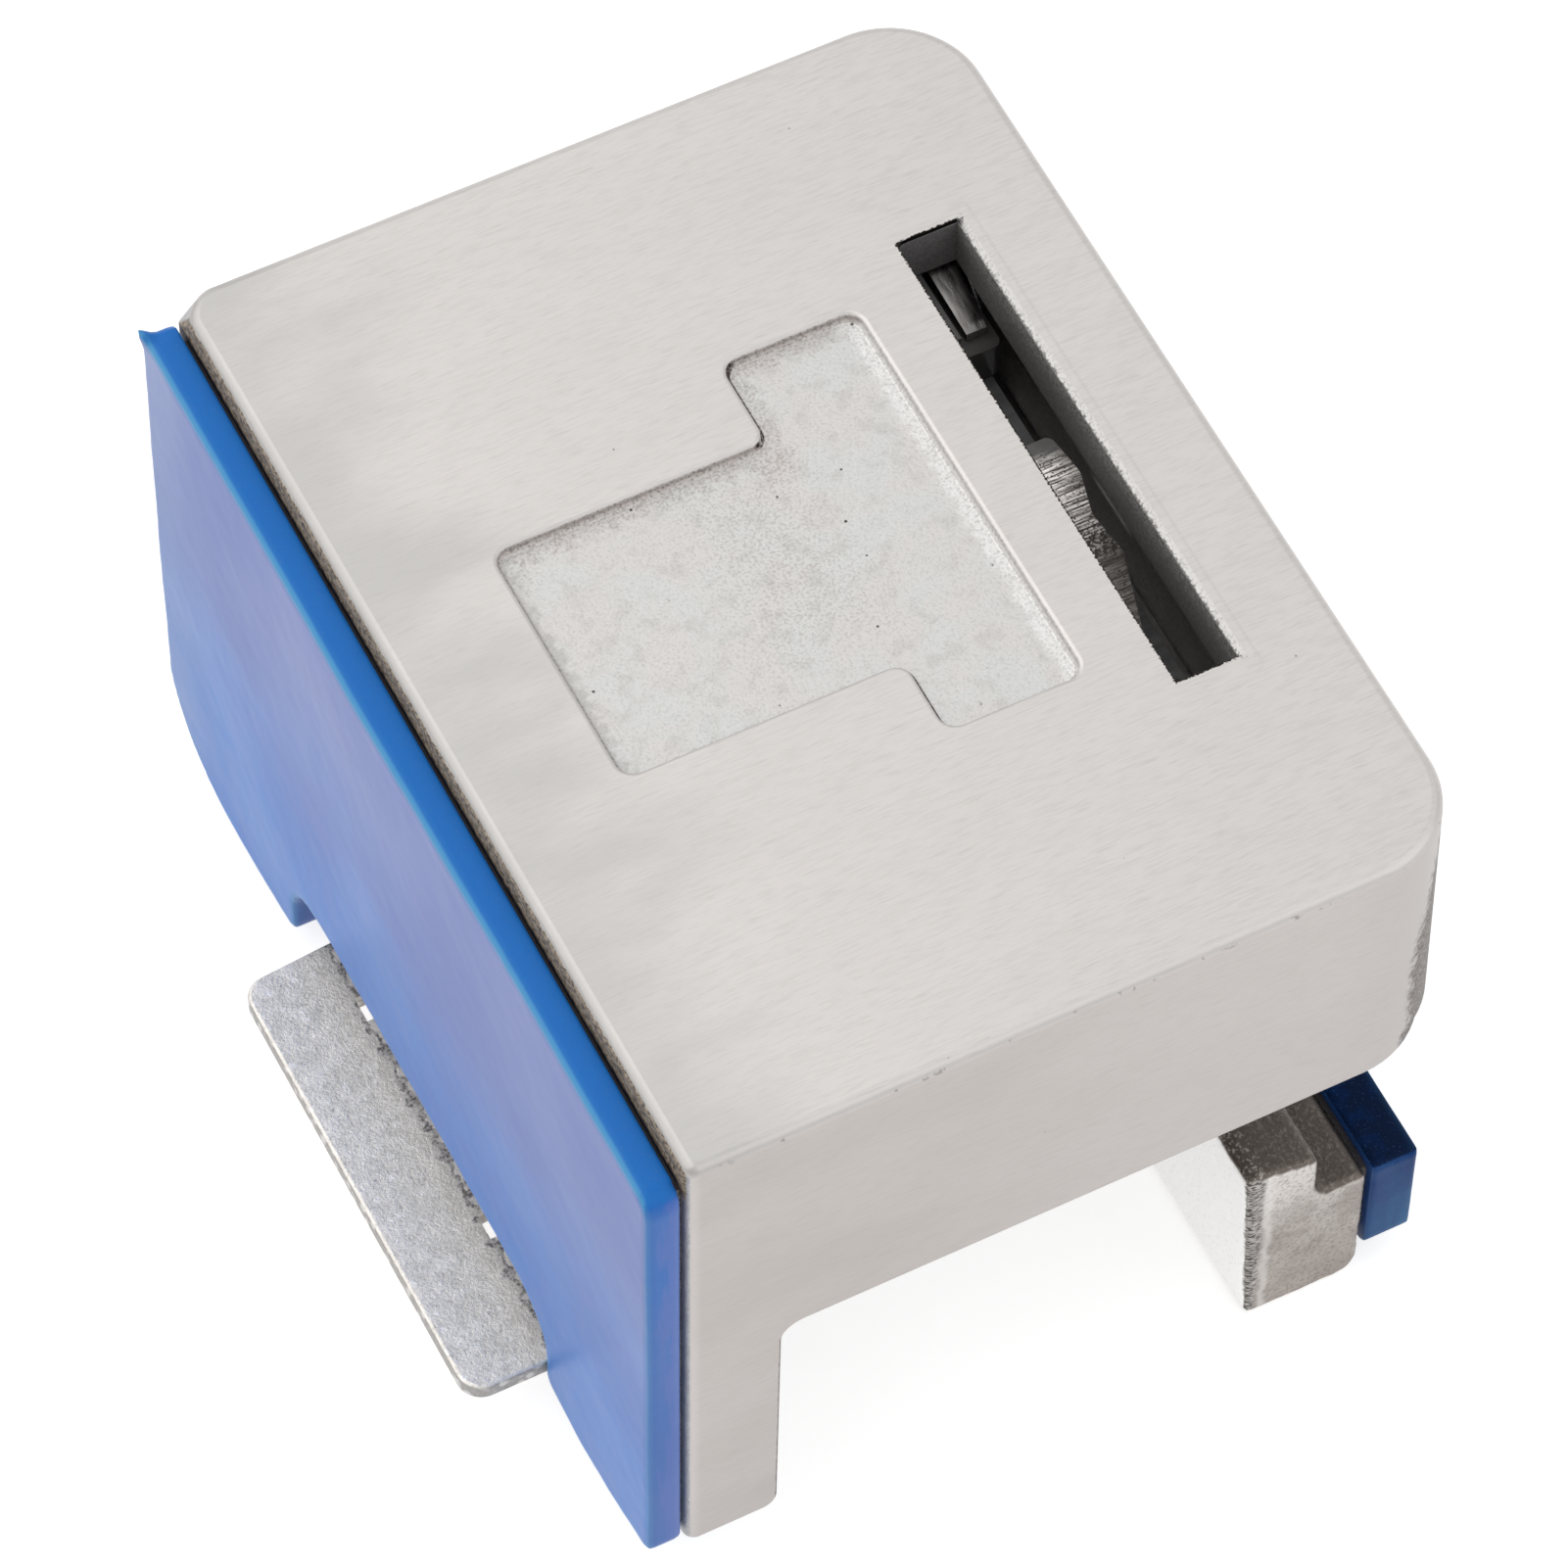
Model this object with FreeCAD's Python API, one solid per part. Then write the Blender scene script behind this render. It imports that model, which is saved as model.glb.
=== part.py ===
import FreeCAD, Part
import math
import os

# Sliding window lock that sits in a window's bottom track. A cast housing straddles the track rail.
# A cam bar inside it, moved through the slot in the top, pushes a jaw sideways against the track wall.
# Working frame: x from the leg's outer face, y from the near face, z from the polished top. Millimetres.

# Housing casting
body_length = 50.0
body_width = 37.4
leg_height = 31.6
leg_thick = 4.6
leg_draft = 0.1
leg_root_r = 1.0
leg_foot_r = 0.8
side_corner_r = 4.5
leg_corner_r = 0.6
far_corner_r = 0.25
worn_corner_r = 2.3
worn_corner_depth = 1.7
cast_spread = 0.3
cast_depth = 14.6
top_edge_r = 0.5
under_edge_r = 0.3
roof_thick = 3.0
end_wall = 2.6
side_wall = 2.0
core_corner_r = 1.0

# Hooked lip at the foot of the leg
lip_reach = 5.6
lip_start = 10.5
lip_length = 23.9
lip_flare = 0.6
lip_thick = 1.0
lip_corner_r = 1.2
lip_edge_r = 0.2
lip_root_r = 0.5
lip_hole_width = 0.7
lip_hole_length = 1.4
lip_hole_near = 7.5
lip_hole_far = 20.3

# Shallow cast pocket in the top
pocket_start = 6.4
pocket_stem = 13.3
pocket_head = 6.65
pocket_stem_width = 12.85
pocket_head_width = 21.35
pocket_stem_offset = 0.12
pocket_head_offset = 0.42
pocket_depth = 0.45
pocket_corner_r = 0.8
pocket_floor_r = 0.22
pocket_rim_r = 0.2

# Key slot through the roof
slot_width = 3.05
slot_length = 25.95
slot_side = 4.8
slot_offset = 0.5
slot_bevel = 0.3
slot_corner_r = 0.4

# Fixed pad and its adhesive film
film_thick = 0.25
film_inset = 0.6
pad_thick = 1.65
pad_top_drop = 1.4
pad_foot_drop = 0.2
pad_near_gap = 0.05
pad_far_gap = 0.05
pad_small_r = 0.6
pad_near_r = 1.0
pad_far_r = 5.5
pad_edge_r = 0.45
notch_height = 5.3
notch_near = 0.05
notch_far = 2.2
notch_near_r = 2.8
notch_far_r = 3.0

# Cam bar
bar_thick = 3.8
bar_width = 7.9
bar_travel = 8.0
cam_slope = 0.3
cam_run_in = 2.4
land_length = 6.8
seat_dip = 0.3
key_notch = 6.4
key_side_gap = 0.65
ledge_depth = 1.7
ledge_start = 6.9
far_arm_reach = 1.1
bar_corner_r = 0.4
crest_r = 1.2
seat_r = 1.5

# Follower on the carriage
roller_r = 1.5
roller_height = 3.5
axle_r = 0.7
axle_seat = 4.9
roller_wall_gap = 0.6

# Carriage, guide pins and return springs
carriage_width = 19.4
guide_inset = 8.0
pin_r = 1.5
pin_seat = 3.6
pin_setback = 0.2
pin_chamfer = 0.3
spring_mean_r = 2.15
spring_wire = 0.55
spring_turns = 7
spring_pocket_gap = 0.325
spring_pocket_wall = 0.75
spring_pocket_depth = 8.4
core_depth = 3.2
core_margin = 3.0

# Base plate and its screws
plate_thick = 1.2
plate_recess = 0.8
plate_landing = 6.0
plate_rim = 1.4
lug_reach = 0.9
lug_length = 5.0
lug_inset = 12.0
screw_inset = 14.0
screw_edge = 2.8
screw_r = 1.25
screw_head_r = 2.3
screw_length = 6.5
well_inset = 17.6
well_depth = 7.0
cross_width = 0.6
cross_depth = 0.8

# Drag spring, a leaf under the roof that bears on the cam bar
leaf_width = 1.0
leaf_head_width = 1.8
leaf_thick = 0.5
leaf_flat = 6.0
leaf_run = 5.2
leaf_edge = 0.4
leaf_bend_r = 4.0
leaf_end_gap = 0.8
rivet_r = 0.35
rivet_head_r = 0.65
rivet_head = 0.35
rivet_seat = 1.2
rivet_pitch = 2.8
rivet_edge = 1.3

# Jaw
jaw_gap = 5.2
jaw_height = 12.2
jaw_width = 6.4
jaw_step_width = 3.8
jaw_step_drop = 4.0
jaw_slope = 0.9
jaw_draft = 0.6
jaw_corner_r = 0.5
jaw_foot_r = 1.2
jaw_end_r = 0.35
neck_thick = 4.8
neck_inset = 12.0
neck_corner_r = 0.8
neck_seat = 1.2
cap_inset = 17.0
cap_offset = 3.1
cap_r = 1.0
cap_head_r = 1.9
cap_head = 2.0
cap_sink = 2.6
cap_grip = 2.9
cap_hex = 1.5
cap_hex_depth = 1.0

# Moving pad and its adhesive film
jaw_pad_thick = 2.3
jaw_pad_height = 6.9
jaw_pad_setback = 1.0
jaw_pad_lift = 0.2
jaw_pad_end_gap = 0.05
jaw_pad_top_r = 0.3
jaw_pad_foot_r = 0.8
jaw_pad_edge_r = 0.2

# Clearances
slide_gap = 0.1
end_gap = 0.4
run_gap = 0.05
seat_gap = 0.02

# Levels, from the top down
bar_top = -roof_thick - slide_gap
bar_foot = bar_top - bar_thick
cavity_top = bar_foot - slide_gap
carriage_top = cavity_top - slide_gap
pocket_r = spring_mean_r + spring_wire / 2 + spring_pocket_gap
carriage_thick = 2 * (pocket_r + spring_pocket_wall)
carriage_foot = carriage_top - carriage_thick
guide_z = carriage_top - carriage_thick / 2
plate_top = carriage_foot - slide_gap
plate_foot = plate_top - plate_thick
underside = plate_foot - plate_recess
leg_foot = -leg_height
jaw_top = underside - jaw_gap
jaw_foot = jaw_top - jaw_height

# Places across the track
jaw_travel = cam_slope * bar_travel
cavity_right = body_width - side_wall
carriage_right = cavity_right - jaw_travel - end_gap - seat_gap
carriage_left = carriage_right - carriage_width
cavity_left = carriage_left - end_gap
slot_right = body_width - slot_side
slot_left = slot_right - slot_width
cam_length = math.sqrt(1 + cam_slope ** 2)
normal_x = 1 / cam_length
normal_y = -cam_slope / cam_length
crest_x = cavity_right - roller_wall_gap - roller_r * (1 + normal_x)
start_x = crest_x - jaw_travel
bar_back = crest_x - bar_width
ledge_x = bar_back + ledge_start
far_arm_x = crest_x + far_arm_reach
key_back = slot_left - key_side_gap
jaw_pad_face = body_width - jaw_pad_setback
jaw_right = jaw_pad_face - jaw_pad_thick - film_thick
jaw_left = jaw_right - jaw_width
step_x = jaw_left + jaw_step_width
neck_right = jaw_left + neck_thick
plate_left = cavity_left - plate_landing
plate_right = body_width - plate_rim
screw_x = plate_left + screw_edge

# Places along the track
cavity_near = end_wall
cavity_far = body_length - end_wall
bar_near = cavity_near + bar_travel + end_gap
bar_far = cavity_far - end_gap
start_y = bar_near + cam_run_in
crest_y = start_y + bar_travel
key_near = crest_y + land_length
key_far = key_near + key_notch
follower_x = start_x + (roller_r + run_gap) * normal_x
follower_y = start_y + (roller_r + run_gap) * normal_y
slot_mid = body_length / 2 + slot_offset
leaf_end = cavity_far - leaf_end_gap
leaf_bend = leaf_end - leaf_flat
leaf_tip = leaf_bend - leaf_run
leaf_x = far_arm_x - leaf_edge - leaf_width / 2
inner_corner_r = side_corner_r - end_wall
lip_end = lip_start + lip_length

# The finished part stands on its jaw with its origin at the middle of its footprint
to_origin = FreeCAD.Vector((lip_reach - body_width - cast_spread) / 2, -body_length / 2, -jaw_foot)
above = 1.0


def level(z):
    """Gives a placer for outlines that lie flat at height z."""
    return lambda u, v: FreeCAD.Vector(u, v, z)


def station(y):
    """Gives a placer for outlines that stand across the track at y."""
    return lambda u, v: FreeCAD.Vector(u, y, v)


def side(x):
    """Gives a placer for outlines that stand along the track at x."""
    return lambda u, v: FreeCAD.Vector(x, u, v)


def outline(corners, place):
    """Makes a closed face from corners (u, v, radius), each rounded by its own radius."""
    edges = []
    ends = []
    count = len(corners)
    for i, (u, v, r) in enumerate(corners):
        here = place(u, v)
        back = place(*corners[i - 1][:2]) - here
        ahead = place(*corners[(i + 1) % count][:2]) - here
        back.normalize()
        ahead.normalize()
        if r == 0:
            ends.append((here, here))
            continue
        half = back.getAngle(ahead) / 2
        reach = r / math.tan(half)
        first = here + back * reach
        last = here + ahead * reach
        middle = back + ahead
        middle.normalize()
        crown = here + middle * (r / math.sin(half) - r)
        edges.append(Part.Arc(first, crown, last).toShape())
        ends.append((first, last))
    for i in range(count):
        start = ends[i][1]
        stop = ends[(i + 1) % count][0]
        if start.distanceToPoint(stop) > 1e-7:
            edges.append(Part.LineSegment(start, stop).toShape())
    return Part.Face(Part.Wire(Part.__sortEdges__(edges)))


def box_corners(u0, u1, v0, v1, low0=0, high0=0, high1=0, low1=0):
    """Lists a rectangle's corners with radii, round from its lowest corner."""
    return [(u0, v0, low0), (u1, v0, high0), (u1, v1, high1), (u0, v1, low1)]


def slab(corners, z0, z1):
    """Extrudes a flat outline from z0 up to z1."""
    return outline(corners, level(z0)).extrude(FreeCAD.Vector(0, 0, z1 - z0))


def bar_along(corners, y0, y1):
    """Extrudes an outline that stands across the track from y0 to y1."""
    return outline(corners, station(y0)).extrude(FreeCAD.Vector(0, y1 - y0, 0))


def plate_across(corners, x0, x1):
    """Extrudes an outline that stands along the track from x0 to x1."""
    return outline(corners, side(x0)).extrude(FreeCAD.Vector(x1 - x0, 0, 0))


def rod(radius, start, stop):
    """Makes a round rod between two points."""
    axis = stop - start
    return Part.makeCylinder(radius, axis.Length, start, axis)


def upright(radius, x, y, z0, z1):
    """Makes a round rod standing at x, y."""
    return rod(radius, FreeCAD.Vector(x, y, z0), FreeCAD.Vector(x, y, z1))


def edges_of(shape, test):
    """Lists the edges whose two ends and middle all pass the test."""
    found = []
    for edge in shape.Edges:
        middle = edge.valueAt((edge.FirstParameter + edge.LastParameter) / 2)
        points = [v.Point for v in edge.Vertexes] + [middle]
        if all(test(p) for p in points):
            found.append(edge)
    return found


def near(a, b):
    return abs(a - b) < 1e-4


def body_plan(draft, far_r):
    """Lists the housing's plan corners: large ones on the jaw's side, small ones on the leg's."""
    return box_corners(0, body_width + draft, 0, body_length, leg_corner_r, side_corner_r, side_corner_r, far_r)


def make_body_skin():
    """Makes the housing's outer form: a slab that leans out a little as cast, with one far corner worn round."""
    shoulder = cast_spread * worn_corner_depth / cast_depth
    rings = [(0, 0, worn_corner_r), (-worn_corner_depth, shoulder, far_corner_r),
             (-cast_depth, cast_spread, far_corner_r)]
    wires = [outline(body_plan(draft, r), level(z)).OuterWire for z, draft, r in rings]
    return Part.makeLoft(wires, True, True).fuse(slab(body_plan(0, far_corner_r), leg_foot, -cast_depth))


def t_plan():
    """Lists the corners of the shallow pocket in the top, a square stem with a wider head."""
    r = pocket_corner_r
    neck_x = pocket_start + pocket_stem
    end_x = neck_x + pocket_head
    stem_near = body_length / 2 + pocket_stem_offset - pocket_stem_width / 2
    stem_far = stem_near + pocket_stem_width
    head_near = body_length / 2 + pocket_head_offset - pocket_head_width / 2
    head_far = head_near + pocket_head_width
    return [(pocket_start, stem_near, r), (neck_x, stem_near, r), (neck_x, head_near, r), (end_x, head_near, r),
            (end_x, head_far, r), (neck_x, head_far, r), (neck_x, stem_far, r), (pocket_start, stem_far, r)]


def in_pocket(point):
    """Tells whether a point lies on or inside the shallow pocket's outline."""
    xs = [u for u, v, r in t_plan()]
    ys = [v for u, v, r in t_plan()]
    return min(xs) - 1e-4 < point.x < max(xs) + 1e-4 and min(ys) - 1e-4 < point.y < max(ys) + 1e-4


def make_lip():
    """Makes the hooked lip with a fillet at its root and two small core holes."""
    foot = leg_foot
    top = foot + lip_thick
    r = lip_corner_r
    root_x = leg_thick / 2
    plan = [(-lip_reach, lip_start, r), (root_x, lip_start, 0), (root_x, lip_end + lip_flare, 0),
            (-lip_reach, lip_end, r)]
    lip = slab(plan, foot, top)
    rim = [e for e in lip.Edges if near(e.Vertexes[0].Z, e.Vertexes[-1].Z) and e.CenterOfMass.x < root_x - above / 2]
    lip = lip.makeFillet(lip_edge_r, rim)
    web = [(-lip_root_r, top, 0), (0, top, 0), (0, top + lip_root_r, 0)]
    lip = lip.fuse(bar_along(web, lip_start + lip_edge_r, lip_end - lip_edge_r))
    hole_x = -lip_root_r - lip_hole_width
    for centre in (lip_start + lip_hole_near, lip_start + lip_hole_far):
        corners = box_corners(hole_x, -lip_root_r, centre - lip_hole_length / 2, centre + lip_hole_length / 2)
        lip = lip.cut(slab(corners, foot - above, top + above))
    return lip


def make_housing():
    """Makes the cast housing: roof, walls, leg and lip, hollowed from below."""
    leg_inner = leg_thick - leg_draft
    beyond = body_width + above
    profile = [(0, 0, 0), (beyond, 0, 0), (beyond, underside, 0), (leg_thick, underside, leg_root_r),
               (leg_inner, leg_foot, leg_foot_r), (0, leg_foot, 0)]
    block = make_body_skin().common(bar_along(profile, 0, body_length))
    block = block.makeFillet(top_edge_r, edges_of(block, lambda p: near(p.z, 0)))
    rim = edges_of(block, lambda p: near(p.z, underside) and p.x > leg_thick + leg_root_r - 1e-4)
    rim = [e for e in rim if not near(e.Vertexes[0].X, e.Vertexes[-1].X) or near(e.Vertexes[0].X, body_width)]
    block = block.makeFillet(under_edge_r, rim)
    block = block.fuse(make_lip()).removeSplitter()

    pocket = slab(t_plan(), -pocket_depth, above)
    pocket = pocket.makeFillet(pocket_floor_r, edges_of(pocket, lambda p: near(p.z, -pocket_depth)))
    block = block.cut(pocket)
    block = block.makeFillet(pocket_rim_r, edges_of(block, lambda p: near(p.z, 0) and in_pocket(p)))

    slot_near = slot_mid - slot_length / 2
    slot_far = slot_mid + slot_length / 2
    opening = box_corners(slot_left, slot_right, slot_near, slot_far, slot_corner_r, 0, 0, slot_corner_r)
    block = block.cut(slab(opening, -roof_thick - above, above))
    bevel = [(slot_right - seat_gap, above, 0), (slot_right - seat_gap, -slot_bevel, 0), (slot_right, -slot_bevel, 0),
             (slot_right + slot_bevel, 0, 0), (slot_right + slot_bevel, above, 0)]
    block = block.cut(bar_along(bevel, slot_near, slot_far))

    r = inner_corner_r
    c = core_corner_r
    lower = box_corners(cavity_left, cavity_right, cavity_near, cavity_far, c, r, r, c)
    upper = box_corners(bar_back - slide_gap, cavity_right, cavity_near, cavity_far, 0, r, r, 0)
    rebate_near = plate_rim - slide_gap
    rebate_r = side_corner_r - plate_rim
    rebate = box_corners(plate_left - slide_gap, plate_right + slide_gap, rebate_near, body_length - rebate_near,
                         c, rebate_r, rebate_r, c)
    block = block.cut(slab(lower, underside - above, cavity_top))
    block = block.cut(slab(upper, cavity_top - above, -roof_thick))
    block = block.cut(slab(rebate, underside - above, plate_top))
    well = box_corners(plate_left, cavity_left - screw_edge / 2, well_inset, body_length - well_inset, c, c, c, c)
    block = block.cut(slab(well, plate_top - above, plate_top + well_depth))

    for y in (guide_inset, body_length - guide_inset):
        start = FreeCAD.Vector(cavity_left - pin_seat, y, guide_z)
        stop = FreeCAD.Vector(body_width + above, y, guide_z)
        block = block.cut(rod(pin_r + seat_gap, start, stop))
    for y in (screw_inset, body_length - screw_inset):
        block = block.cut(upright(screw_r + seat_gap, screw_x, y, plate_foot, plate_foot + screw_length + end_gap))
    for y in rivet_places():
        block = block.cut(upright(rivet_r + seat_gap, leaf_x, y, -roof_thick - above, rivet_seat - roof_thick))

    for y in (lug_inset, body_length - lug_inset):
        lug = box_corners(plate_right - lug_reach, plate_right + 2 * slide_gap, y - lug_length / 2, y + lug_length / 2)
        block = block.fuse(slab(lug, underside, plate_foot - slide_gap))
    return block.removeSplitter()


def pad_outline(inset, radius_cut):
    """Lists the fixed pad's corners (y, z) with the notch that lets the lip through."""
    low = leg_foot - pad_foot_drop + inset
    high = -pad_top_drop - inset
    first = pad_near_gap + inset
    last = body_length - pad_far_gap - inset
    near_end = lip_start - notch_near - inset
    far_end = lip_end + notch_far + inset
    brow = leg_foot + notch_height + inset
    r = pad_small_r
    return [(first, low, r), (near_end, low, r), (near_end, brow, notch_near_r), (far_end, brow, notch_far_r),
            (far_end, low, r), (last, low, pad_far_r - radius_cut), (last, high, r),
            (first, high, pad_near_r - radius_cut)]


def make_fixed_pad():
    """Makes the blue pad on the leg's outer face, its outer rim slightly rounded."""
    face = -film_thick - pad_thick
    pad = plate_across(pad_outline(0, 0), face, -film_thick)
    return pad.makeFillet(pad_edge_r, edges_of(pad, lambda p: near(p.x, face)))


def make_fixed_pad_film():
    return plate_across(pad_outline(film_inset, film_inset), -film_thick, 0)


def window_corners():
    """Lists the corners of the base plate's window, the neck's path plus a gap all round."""
    near_y = neck_inset - end_gap
    right = neck_right + jaw_travel + end_gap
    r = core_corner_r
    return box_corners(jaw_left - end_gap, right, near_y, body_length - near_y, r, r, r, r)


def make_base_plate():
    """Makes the steel plate that closes the housing, with the jaw's window and two countersunk holes."""
    r = side_corner_r - plate_rim - slide_gap
    c = core_corner_r
    plan = box_corners(plate_left, plate_right, plate_rim, body_length - plate_rim, c, r, r, c)
    plate = slab(plan, plate_foot, plate_top)
    plate = plate.cut(slab(window_corners(), plate_foot - above, plate_top + above))
    for y in (screw_inset, body_length - screw_inset):
        plate = plate.cut(upright(screw_r + slide_gap, screw_x, y, plate_foot - above, plate_top + above))
        plate = plate.cut(countersink(screw_x, y, slide_gap))
    return plate


def countersink(x, y, gap):
    """Makes the cone of a countersunk head, its wide end flush with the plate's lower face."""
    depth = screw_head_r - screw_r
    spot = FreeCAD.Vector(x, y, plate_foot)
    return Part.makeCone(screw_head_r + gap, screw_r + gap, depth, spot, FreeCAD.Vector(0, 0, 1))


def make_base_plate_screws():
    """Makes the two countersunk screws with cross recesses."""
    screws = []
    for y in (screw_inset, body_length - screw_inset):
        screw = countersink(screw_x, y, 0).fuse(upright(screw_r, screw_x, y, plate_foot, plate_foot + screw_length))
        for long_x, long_y in ((screw_r, cross_width / 2), (cross_width / 2, screw_r)):
            arm = box_corners(screw_x - long_x, screw_x + long_x, y - long_y, y + long_y)
            screw = screw.cut(slab(arm, plate_foot - above, plate_foot + cross_depth))
        screws.append(screw.removeSplitter())
    return Part.Compound(screws)


def make_guide_pin(y):
    """Makes one ground steel pin, pressed in from the side wall, with chamfered ends."""
    start = FreeCAD.Vector(cavity_left - pin_seat + seat_gap, y, guide_z)
    pin = rod(pin_r, start, FreeCAD.Vector(body_width - pin_setback, y, guide_z))
    ends = [e for e in pin.Edges if len(e.Vertexes) == 1]
    return pin.makeChamfer(pin_chamfer, ends)


def helix_point(start_x, y, pitch, turn):
    """Gives a point on a return spring's centre line and the line's direction there."""
    angle = 2 * math.pi * turn
    across = FreeCAD.Vector(0, math.cos(angle), math.sin(angle)) * spring_mean_r
    point = FreeCAD.Vector(start_x + pitch * turn, y, guide_z) + across
    sweep = FreeCAD.Vector(0, -math.sin(angle), math.cos(angle)) * (2 * math.pi * spring_mean_r)
    direction = sweep + FreeCAD.Vector(pitch, 0, 0)
    direction.normalize()
    return point, direction


def tangent_arc(start, corner, stop):
    """Makes the arc between two points whose tangents meet at a corner."""
    chord = (start + stop) / 2
    rise = corner.distanceToPoint(chord)
    half = start.distanceToPoint(chord)
    radius = half * math.sqrt(half ** 2 + rise ** 2) / rise
    crown = chord + (corner - chord) * ((radius - math.sqrt(radius ** 2 - half ** 2)) / rise)
    return Part.Arc(start, crown, stop).toShape()


def make_return_spring(y):
    """Makes one return spring as an unbroken helical tube along its guide pin."""
    slack = spring_wire / 2 + run_gap
    start_x = carriage_right - spring_pocket_depth + slack
    pitch = (cavity_right - slack - start_x) / spring_turns
    steps = 4 * spring_turns
    edges = []
    for i in range(steps):
        p0, t0 = helix_point(start_x, y, pitch, i / 4)
        p1, t1 = helix_point(start_x, y, pitch, (i + 1) / 4)
        gap = p1 - p0
        lean = t0 + t1
        a = lean.dot(lean) - 4
        b = -2 * gap.dot(lean)
        c = gap.dot(gap)
        reach = (-b - math.sqrt(b * b - 4 * a * c)) / (2 * a)
        corner0 = p0 + t0 * reach
        corner1 = p1 - t1 * reach
        join = (corner0 + corner1) / 2
        edges.append(tangent_arc(p0, corner0, join))
        edges.append(tangent_arc(join, corner1, p1))
    first, direction = helix_point(start_x, y, pitch, 0)
    section = Part.Wire(Part.makeCircle(spring_wire / 2, first, direction))
    print("spring at y", y, "least gap to itself, mm:", round(spring_gap(start_x, y, pitch), 3))
    return Part.Wire(edges).makePipeShell([section], True, False)


def spring_gap(start_x, y, pitch):
    """Measures the least gap between neighbouring turns on points of the centre line."""
    per_turn = 48
    points = [helix_point(start_x, y, pitch, i / per_turn)[0] for i in range(spring_turns * per_turn + 1)]
    least = pitch
    for i, point in enumerate(points):
        for other in points[i + per_turn // 2:i + 3 * per_turn // 2]:
            least = min(least, point.distanceToPoint(other))
    return least - spring_wire


def rivet_places():
    """Lists where the drag spring's two rivets stand along the track."""
    return (leaf_end - rivet_edge, leaf_end - rivet_edge - rivet_pitch)


def make_drag_spring():
    """Makes the leaf: flat under the roof, then bent down so that its tip bears on the bar's ledge."""
    top = -roof_thick - seat_gap
    foot = bar_top - ledge_depth + run_gap
    corners = [(leaf_end, top, 0), (leaf_bend, top, leaf_bend_r), (leaf_tip, foot + leaf_thick, 0), (leaf_tip, foot, 0),
               (leaf_bend, top - leaf_thick, leaf_bend_r), (leaf_end, top - leaf_thick, 0)]
    half = leaf_width / 2
    head = leaf_head_width / 2
    shoulder = leaf_bend + rivet_edge / 2
    plan = [(leaf_x - half, leaf_tip, 0), (leaf_x + half, leaf_tip, 0), (leaf_x + head, shoulder, 0),
            (leaf_x + head, leaf_end, 0), (leaf_x - head, leaf_end, 0), (leaf_x - head, shoulder, 0)]
    leaf = plate_across(corners, leaf_x - head, leaf_x + head).common(slab(plan, foot, top))
    for y in rivet_places():
        leaf = leaf.cut(upright(rivet_r + seat_gap, leaf_x, y, top - leaf_thick - above, top + above))
    return leaf


def make_drag_spring_rivets():
    """Makes the two rivets that hold the leaf to the roof."""
    rivets = []
    under = -roof_thick - seat_gap - leaf_thick - seat_gap
    for y in rivet_places():
        shank = upright(rivet_r, leaf_x, y, under, rivet_seat - roof_thick - seat_gap)
        head = upright(rivet_head_r, leaf_x, y, under - rivet_head, under)
        head = head.makeFillet(rivet_head / 2, edges_of(head, lambda p: near(p.z, under - rivet_head)))
        rivets.append(shank.fuse(head).removeSplitter())
    return Part.Compound(rivets)


def make_cam_bar():
    """Makes the milled bar: an incline, a crest and a seat on its edge, a key notch and a low ledge."""
    run_x = start_x - cam_slope * cam_run_in
    r = bar_corner_r
    seat_y = crest_y + land_length / 3
    crown_y = crest_y + 2 * land_length / 3
    corners = [(bar_back, bar_near, r), (run_x, bar_near, r), (crest_x, crest_y, crest_r),
               (crest_x - seat_dip, seat_y, seat_r), (crest_x + seat_dip, crown_y, crest_r),
               (crest_x, key_near, r), (key_back, key_near, r), (key_back, key_far, r),
               (far_arm_x, key_far, r), (far_arm_x, bar_far, r), (bar_back, bar_far, r)]
    bar = slab(corners, bar_foot, bar_top)
    ledge = box_corners(ledge_x, far_arm_x + above, key_far - above, bar_far + above)
    return bar.cut(slab(ledge, bar_top - ledge_depth, bar_top + above))


def make_carriage():
    """Makes the carriage that runs on the guide pins, with spring pockets and a socket for the jaw's neck."""
    r = inner_corner_r
    c = core_corner_r
    near_y = cavity_near + 2 * slide_gap
    plan = box_corners(carriage_left, carriage_right, near_y, body_length - near_y, c, r, r, c)
    block = slab(plan, carriage_foot, carriage_top)
    for y in (guide_inset, body_length - guide_inset):
        start = FreeCAD.Vector(carriage_left - above, y, guide_z)
        stop = FreeCAD.Vector(carriage_right + above, y, guide_z)
        block = block.cut(rod(pin_r + run_gap, start, stop))
        seat = FreeCAD.Vector(carriage_right - spring_pocket_depth, y, guide_z)
        block = block.cut(rod(pocket_r, seat, stop))
    socket_y = neck_inset - seat_gap
    socket = box_corners(jaw_left - seat_gap, neck_right + seat_gap, socket_y, body_length - socket_y,
                         neck_corner_r, neck_corner_r, neck_corner_r, neck_corner_r)
    block = block.cut(slab(socket, carriage_foot - above, carriage_foot + neck_seat + seat_gap))
    for y in (cap_inset, body_length - cap_inset):
        block = block.cut(upright(cap_r + seat_gap, jaw_left + cap_offset, y, carriage_foot, screw_tip() + end_gap))
    hole_foot = carriage_top - axle_seat
    block = block.cut(upright(axle_r + seat_gap, follower_x, follower_y, hole_foot, carriage_top + above))
    core_right = carriage_right - spring_pocket_depth
    core = box_corners(carriage_left + core_margin, core_right, guide_inset + 2 * core_margin,
                       body_length - guide_inset - 2 * core_margin, c, c, c, c)
    return block.cut(slab(core, carriage_foot - above, carriage_foot + core_depth))


def make_follower_axle():
    """Makes the pin that stands in the carriage and carries the roller."""
    foot = carriage_top - axle_seat + seat_gap
    return upright(axle_r, follower_x, follower_y, foot, bar_top - run_gap)


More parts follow.
